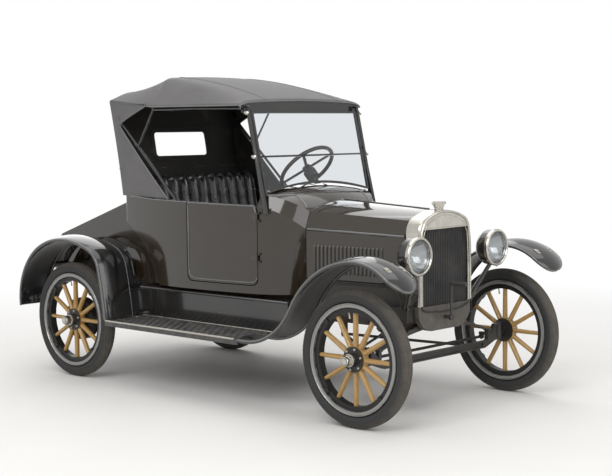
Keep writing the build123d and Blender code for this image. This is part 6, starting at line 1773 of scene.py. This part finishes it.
# A lamp's rim, lens and reflector: radius and distance ahead of the rim's front face, in metres
LAMP_RIM = (
    (0.0955, -0.016), (0.0960, -0.003), (0.0985, 0.000), (0.1040, 0.0008),
    (0.1088, -0.003), (0.1110, -0.009), (0.1108, -0.016), (0.1085, -0.021),
    (0.1085, -0.027), (0.1048, -0.028), (0.1045, -0.022), (0.1000, -0.019),
)
LAMP_LENS = (
    (0.0958, -0.0105), (0.080, -0.0070), (0.060, -0.0040), (0.030, -0.0018), (0.0005, -0.0010),
    (0.0005, -0.0035), (0.060, -0.0070), (0.0945, -0.0140),
)
LAMP_REFLECTOR = (
    (0.0950, -0.0170), (0.0850, -0.0360), (0.0680, -0.0580), (0.0450, -0.0760),
    (0.0220, -0.0860), (0.0120, -0.0880), (0.0, -0.0885),
)
LAMP_SCREW = ((0.0, -0.008), (0.004, -0.007), (0.004, 0.007), (0.0, 0.008))
LAMP_BULB = (
    (0.0005, 0.014), (0.008, 0.011), (0.012, 0.002), (0.009, -0.008),
    (0.006, -0.014), (0.006, -0.024), (0.0005, -0.024),
)


class RUNABOUT_OT_lamps(bpy.types.Operator):
    """Make the headlamps' rolled rims, domed lenses, reflectors and bulbs"""

    bl_idname = "runabout.lamps"
    bl_label = "Headlamps"

    def execute(self, context):
        rims, lenses, mirrors, bulbs = [], [], [], []
        low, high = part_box("headlamp_rims")
        radius = (high.z - low.z) / 2
        for side in (-1, 1):
            centre = Vector((high.x, side * (high.y - radius), (low.z + high.z) / 2))
            screw = centre + Vector((-0.010, 0.0, -0.111))
            bulb = centre + Vector((-0.060, 0.0, 0.0))
            rims.append(turned_mesh(centre, LAMP_RIM, 72, "X"))
            rims.append(turned_mesh(screw, LAMP_SCREW, 12, "X"))
            lenses.append(turned_mesh(centre, LAMP_LENS, 64, "X"))
            mirrors.append(turned_mesh(centre, LAMP_REFLECTOR, 64, "X", closed=False))
            bulbs.append(turned_mesh(bulb, LAMP_BULB, 24, "X"))
        rim = add_piece("lamp_rims", rims, "chassis", "bright_metal", "nickel")
        lens = add_piece("lamp_lenses", lenses, "chassis", "lens_glass", "lens")
        add_piece("lamp_reflectors", mirrors, "chassis", "bright_metal", "mirror")
        add_piece("lamp_bulbs", bulbs, "chassis", "lens_glass", "lens")
        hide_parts("headlamp_rims")
        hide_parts("headlamp_lenses")
        return {"FINISHED"}


# The ribbed plates: rows along the car, points to a pair of ribs, and the pads' pitch and height
PLATE_ROWS = 176
RIB_POINTS = 12
PAD_PITCH = 0.058
PAD_RISE = 0.0048


def rib_rise(turns):
    """How far up the ribs' rounded wave is, from 0 to 1."""
    return smooth_step((math.cos(2 * math.pi * turns) + 0.45) * 1.3)


class RUNABOUT_OT_steps(bpy.types.Operator):
    """Lay the ribbed plates on the running boards, with their bright edge rails"""

    bl_idname = "runabout.steps"
    bl_label = "Running Boards"

    def execute(self, context):
        low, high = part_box("running_boards")
        points = sizes().step_ribs * RIB_POINTS // 2
        for name, side in SIDES:
            rows = []
            for step in range(PLATE_ROWS + 1):
                x = mixed(low.x + 0.045, high.x - 0.012, step / PLATE_ROWS)
                row = []
                for point in range(points + 1):
                    y = side * mixed(BOARD_IN + 0.032, high.y - 0.030, point / points)
                    stagger = 0.5 if (point + RIB_POINTS // 2) // RIB_POINTS % 2 else 0.0
                    rise = rib_rise(point / RIB_POINTS) * rib_rise(x / PAD_PITCH + stagger)
                    row.append((x, y, high.z + 0.0005 + PAD_RISE * rise))
                rows.append(row)
            plate = grid_mesh(rows if side > 0 else rows[::-1])
            add_piece(f"step_plate_{name}", plate, "chassis", "fender_paint", "step", sharp=50.0)
        rails = []
        for side in (-1, 1):
            for y, radius, up in (
                (high.y - 0.004, 0.0065, -0.001),
                (BOARD_IN + 0.014, 0.0045, 0.003),
            ):
                ends = [(x, side * y, high.z + up) for x in (low.x + 0.002, high.x - 0.030)]
                rails.append(tube_mesh(ends, radius, around=12))
        add_piece("step_rails", rails, "chassis", "bright_metal", "dull_nickel")
        return {"FINISHED"}


# A wheel's parts as (radius, distance out from its middle): the rim's rolled edge and the hub cap
RIM_FACE = 0.037
RIM_ROLL = (
    (0.3135, -0.004), (0.3160, -0.001), (0.3135, 0.003),
    (0.3095, 0.0035), (0.3065, 0.0), (0.3085, -0.004),
)
HUB_CAP = (
    (0.0, 0.1048), (0.0120, 0.1047), (0.0175, 0.1042), (0.0268, 0.1012), (0.0310, 0.0915),
    (0.0318, 0.0640), (0.0365, 0.0620), (0.0365, 0.0520), (0.0300, 0.0500),
)
# The hub's bolts on their circle, standing on its face, and the valve stem on its own
HUB_FACE = 0.026
BOLT_CIRCLE, BOLT_TURN = 0.060, 0.26
HUB_BOLT = (
    (0.0, 0.0), (0.0075, 0.0), (0.0075, 0.006), (0.0045, 0.0065), (0.0045, 0.011), (0.0, 0.0115),
)
VALVE_CIRCLE, VALVE_TURN = 0.290, math.radians(101.0)


class RUNABOUT_OT_wheel_trim(bpy.types.Operator):
    """Add the rims' rolled edges, valve stems, hub caps and hub bolts"""

    bl_idname = "runabout.wheel_trim"
    bl_label = "Wheel Trim"

    def execute(self, context):
        for corner in CORNERS:
            centre, body = WHEEL_CENTRES[corner], f"wheel_{corner}"
            out = -1 if corner.endswith("right") else 1
            rolls, dark = [], []
            for edge in (-1, 1):
                roll = [(radius, edge * (RIM_FACE + along)) for radius, along in RIM_ROLL]
                rolls.append(turned_mesh(centre, roll, 96))
            nut = [(radius, out * (HUB_FACE + along)) for radius, along in HUB_BOLT]
            for bolt in range(6):
                place = centre + spun(BOLT_CIRCLE, 2 * math.pi * bolt / 6 + BOLT_TURN, 0.0)
                dark.append(turned_mesh(place, nut, 6))
            base, inward = centre + spun(VALVE_CIRCLE, VALVE_TURN, 0.0), -spun(1.0, VALVE_TURN, 0.0)
            dark.append(tube_mesh([base, base + inward * 0.048], 0.0040))
            dark.append(tube_mesh([base + inward * 0.046, base + inward * 0.064], 0.0052))
            profile = [(radius, out * along) for radius, along in HUB_CAP]
            cap = turned_mesh(centre, profile, 40, closed=False)
            add_piece(f"hub_cap_{corner}", cap, body, "bright_metal", "nickel", sharp=35.0)
            add_piece(f"rim_roll_{corner}", rolls, body, "wheel_metal", "zinc")
            add_piece(f"wheel_bolts_{corner}", dark, body, "wheel_metal", "dull_nickel")
        return {"FINISHED"}


class RUNABOUT_OT_stage(bpy.types.Operator):
    """Set up the camera, the pale floor, the sky and the lamps"""

    bl_idname = "runabout.stage"
    bl_label = "Studio"

    def execute(self, context):
        scene = context.scene
        scene.view_settings.view_transform = "Standard"
        self.camera(scene)
        self.floor()
        self.world(scene)
        for name, place, aim, size, power in (
            ("sun_side", (4.0, -9.0, 7.5), (0.0, 0.0, 0.9), 6.5, 620.0),
            ("front_fill", (10.5, -1.5, 5.0), (0.6, 0.0, 0.9), 7.0, 300.0),
            ("rear_fill", (-8.0, 5.0, 6.5), (-0.6, 0.0, 1.0), 9.0, 340.0),
            ("overhead", (0.0, 0.5, 9.0), (0.0, 0.0, 1.0), 10.0, 380.0),
        ):
            lamp = bpy.data.lights.new(name, "AREA")
            lamp.size = size
            lamp.energy = power
            stand = bpy.data.objects.new(name, lamp)
            stand.location = place
            stand.rotation_euler = (Vector(aim) - Vector(place)).to_track_quat("-Z", "Y").to_euler()
            scene.collection.objects.link(stand)
        return {"FINISHED"}

    def camera(self, scene):
        """The photograph's viewpoint: low, ahead of the car and to its right."""
        yaw, pitch, roll = 2.31329, -0.09234, -0.00975
        flat = math.cos(pitch)
        ahead = Vector((flat * math.cos(yaw), flat * math.sin(yaw), math.sin(pitch)))
        level = Vector((math.sin(yaw), -math.cos(yaw), 0.0))
        upright = level.cross(ahead)
        right = level * math.cos(roll) + upright * math.sin(roll)
        up = upright * math.cos(roll) - level * math.sin(roll)
        lens = bpy.data.cameras.new("photo_camera")
        lens.sensor_width = 36.0
        lens.lens = 79.59
        lens.shift_x = -0.0417
        lens.shift_y = 0.0235
        eye = bpy.data.objects.new("photo_camera", lens)
        turn = Matrix((right, up, -ahead)).transposed().to_4x4()
        eye.matrix_world = Matrix.Translation((6.2645, -6.2638, 1.6705)) @ turn
        scene.collection.objects.link(eye)
        scene.camera = eye

    def floor(self):
        """A wide pale floor that looks white far away but keeps the car's shadow."""
        made = Finish("studio_floor", Roughness=0.85, Specular_IOR_Level=0.1)
        tone = colours().floor
        made.colour_from(made.noise(2.0, 4.0), (0.3, blended(tone, BLACK, 0.02)), (0.7, tone))
        away = made.node("ShaderNodeVectorMath", operation="LENGTH")
        made.link(made.coordinates, away.inputs[0])
        seen = made.node("ShaderNodeLightPath")
        rays = made.math("MAXIMUM", seen.outputs["Is Camera Ray"], seen.outputs["Is Glossy Ray"])
        rays = made.math("MAXIMUM", rays, seen.outputs["Is Transmission Ray"])
        fade = made.math("MULTIPLY", made.span(away.outputs["Value"], 0.0, 1.0, 2.6, 6.0), rays)
        white = made.node("ShaderNodeEmission")
        both = made.node("ShaderNodeMixShader")
        made.link(fade, both.inputs[0])
        made.link(made.shader.outputs[0], both.inputs[1])
        made.link(white.outputs[0], both.inputs[2])
        made.link(both.outputs[0], made.tree.nodes["Material Output"].inputs["Surface"])
        mesh = bpy.data.meshes.new("studio_floor")
        corners = [(60.0 * x, 60.0 * y, 0) for x, y in ((-1, -1), (1, -1), (1, 1), (-1, 1))]
        mesh.from_pydata(corners, [], [(0, 1, 2, 3)])
        mesh.materials.append(made.material)
        ground = bpy.data.objects.new("studio_floor", mesh)
        bpy.context.scene.collection.objects.link(ground)

    def world(self, scene):
        """A plain pale sky, white where the camera or a reflection sees it."""
        world = bpy.data.worlds.new("studio_sky")
        world.use_nodes = True
        scene.world = world
        made = Nodes(world.node_tree)
        rays = made.node("ShaderNodeLightPath").outputs
        seen = made.math("MAXIMUM", rays["Is Camera Ray"], rays["Is Transmission Ray"])
        seen = made.math("MAXIMUM", seen, made.math("MULTIPLY", rays["Is Glossy Ray"], 0.75))
        sky = made.tree.nodes["Background"]
        sky.inputs["Color"].default_value = (1.0, 1.0, 1.0, 1.0)
        made.link(made.span(seen, 0.45, 1.0, 0.0, 1.0), sky.inputs["Strength"])


OPERATORS = (
    RUNABOUT_OT_stage,
    RUNABOUT_OT_paint,
    RUNABOUT_OT_tyres,
    RUNABOUT_OT_fenders,
    RUNABOUT_OT_louvers,
    RUNABOUT_OT_windshield,
    RUNABOUT_OT_mouldings,
    RUNABOUT_OT_top,
    RUNABOUT_OT_seat,
    RUNABOUT_OT_radiator,
    RUNABOUT_OT_lamps,
    RUNABOUT_OT_steps,
    RUNABOUT_OT_wheel_trim,
)


class RUNABOUT_PT_looks(bpy.types.Panel):
    """The runabout's pieces, one button each"""

    bl_idname = "RUNABOUT_PT_looks"
    bl_label = "Runabout"
    bl_space_type = "VIEW_3D"
    bl_region_type = "UI"
    bl_category = "Runabout"

    def draw(self, context):
        layout = self.layout
        for made in OPERATORS:
            layout.operator(made.bl_idname)
        for settings in (context.scene.runabout_sizes, context.scene.runabout_colours):
            box = layout.box()
            for name in settings.bl_rna.properties.keys():
                if name not in ("rna_type", "name"):
                    box.prop(settings, name)


CLASSES = (RunaboutSizes, RunaboutColours, *OPERATORS, RUNABOUT_PT_looks)


def register():
    """Add the settings, operators and panel."""
    for made in CLASSES:
        bpy.utils.register_class(made)
    bpy.types.Scene.runabout_sizes = bpy.props.PointerProperty(type=RunaboutSizes)
    bpy.types.Scene.runabout_colours = bpy.props.PointerProperty(type=RunaboutColours)


def unregister():
    """Take them away again."""
    del bpy.types.Scene.runabout_colours
    del bpy.types.Scene.runabout_sizes
    for made in reversed(CLASSES):
        bpy.utils.unregister_class(made)


def main():
    """Make every piece in order."""
    register()
    for made in OPERATORS:
        family, action = made.bl_idname.split(".")
        getattr(getattr(bpy.ops, family), action)()
    bpy.context.view_layer.update()


if __name__ == "__main__":
    main()
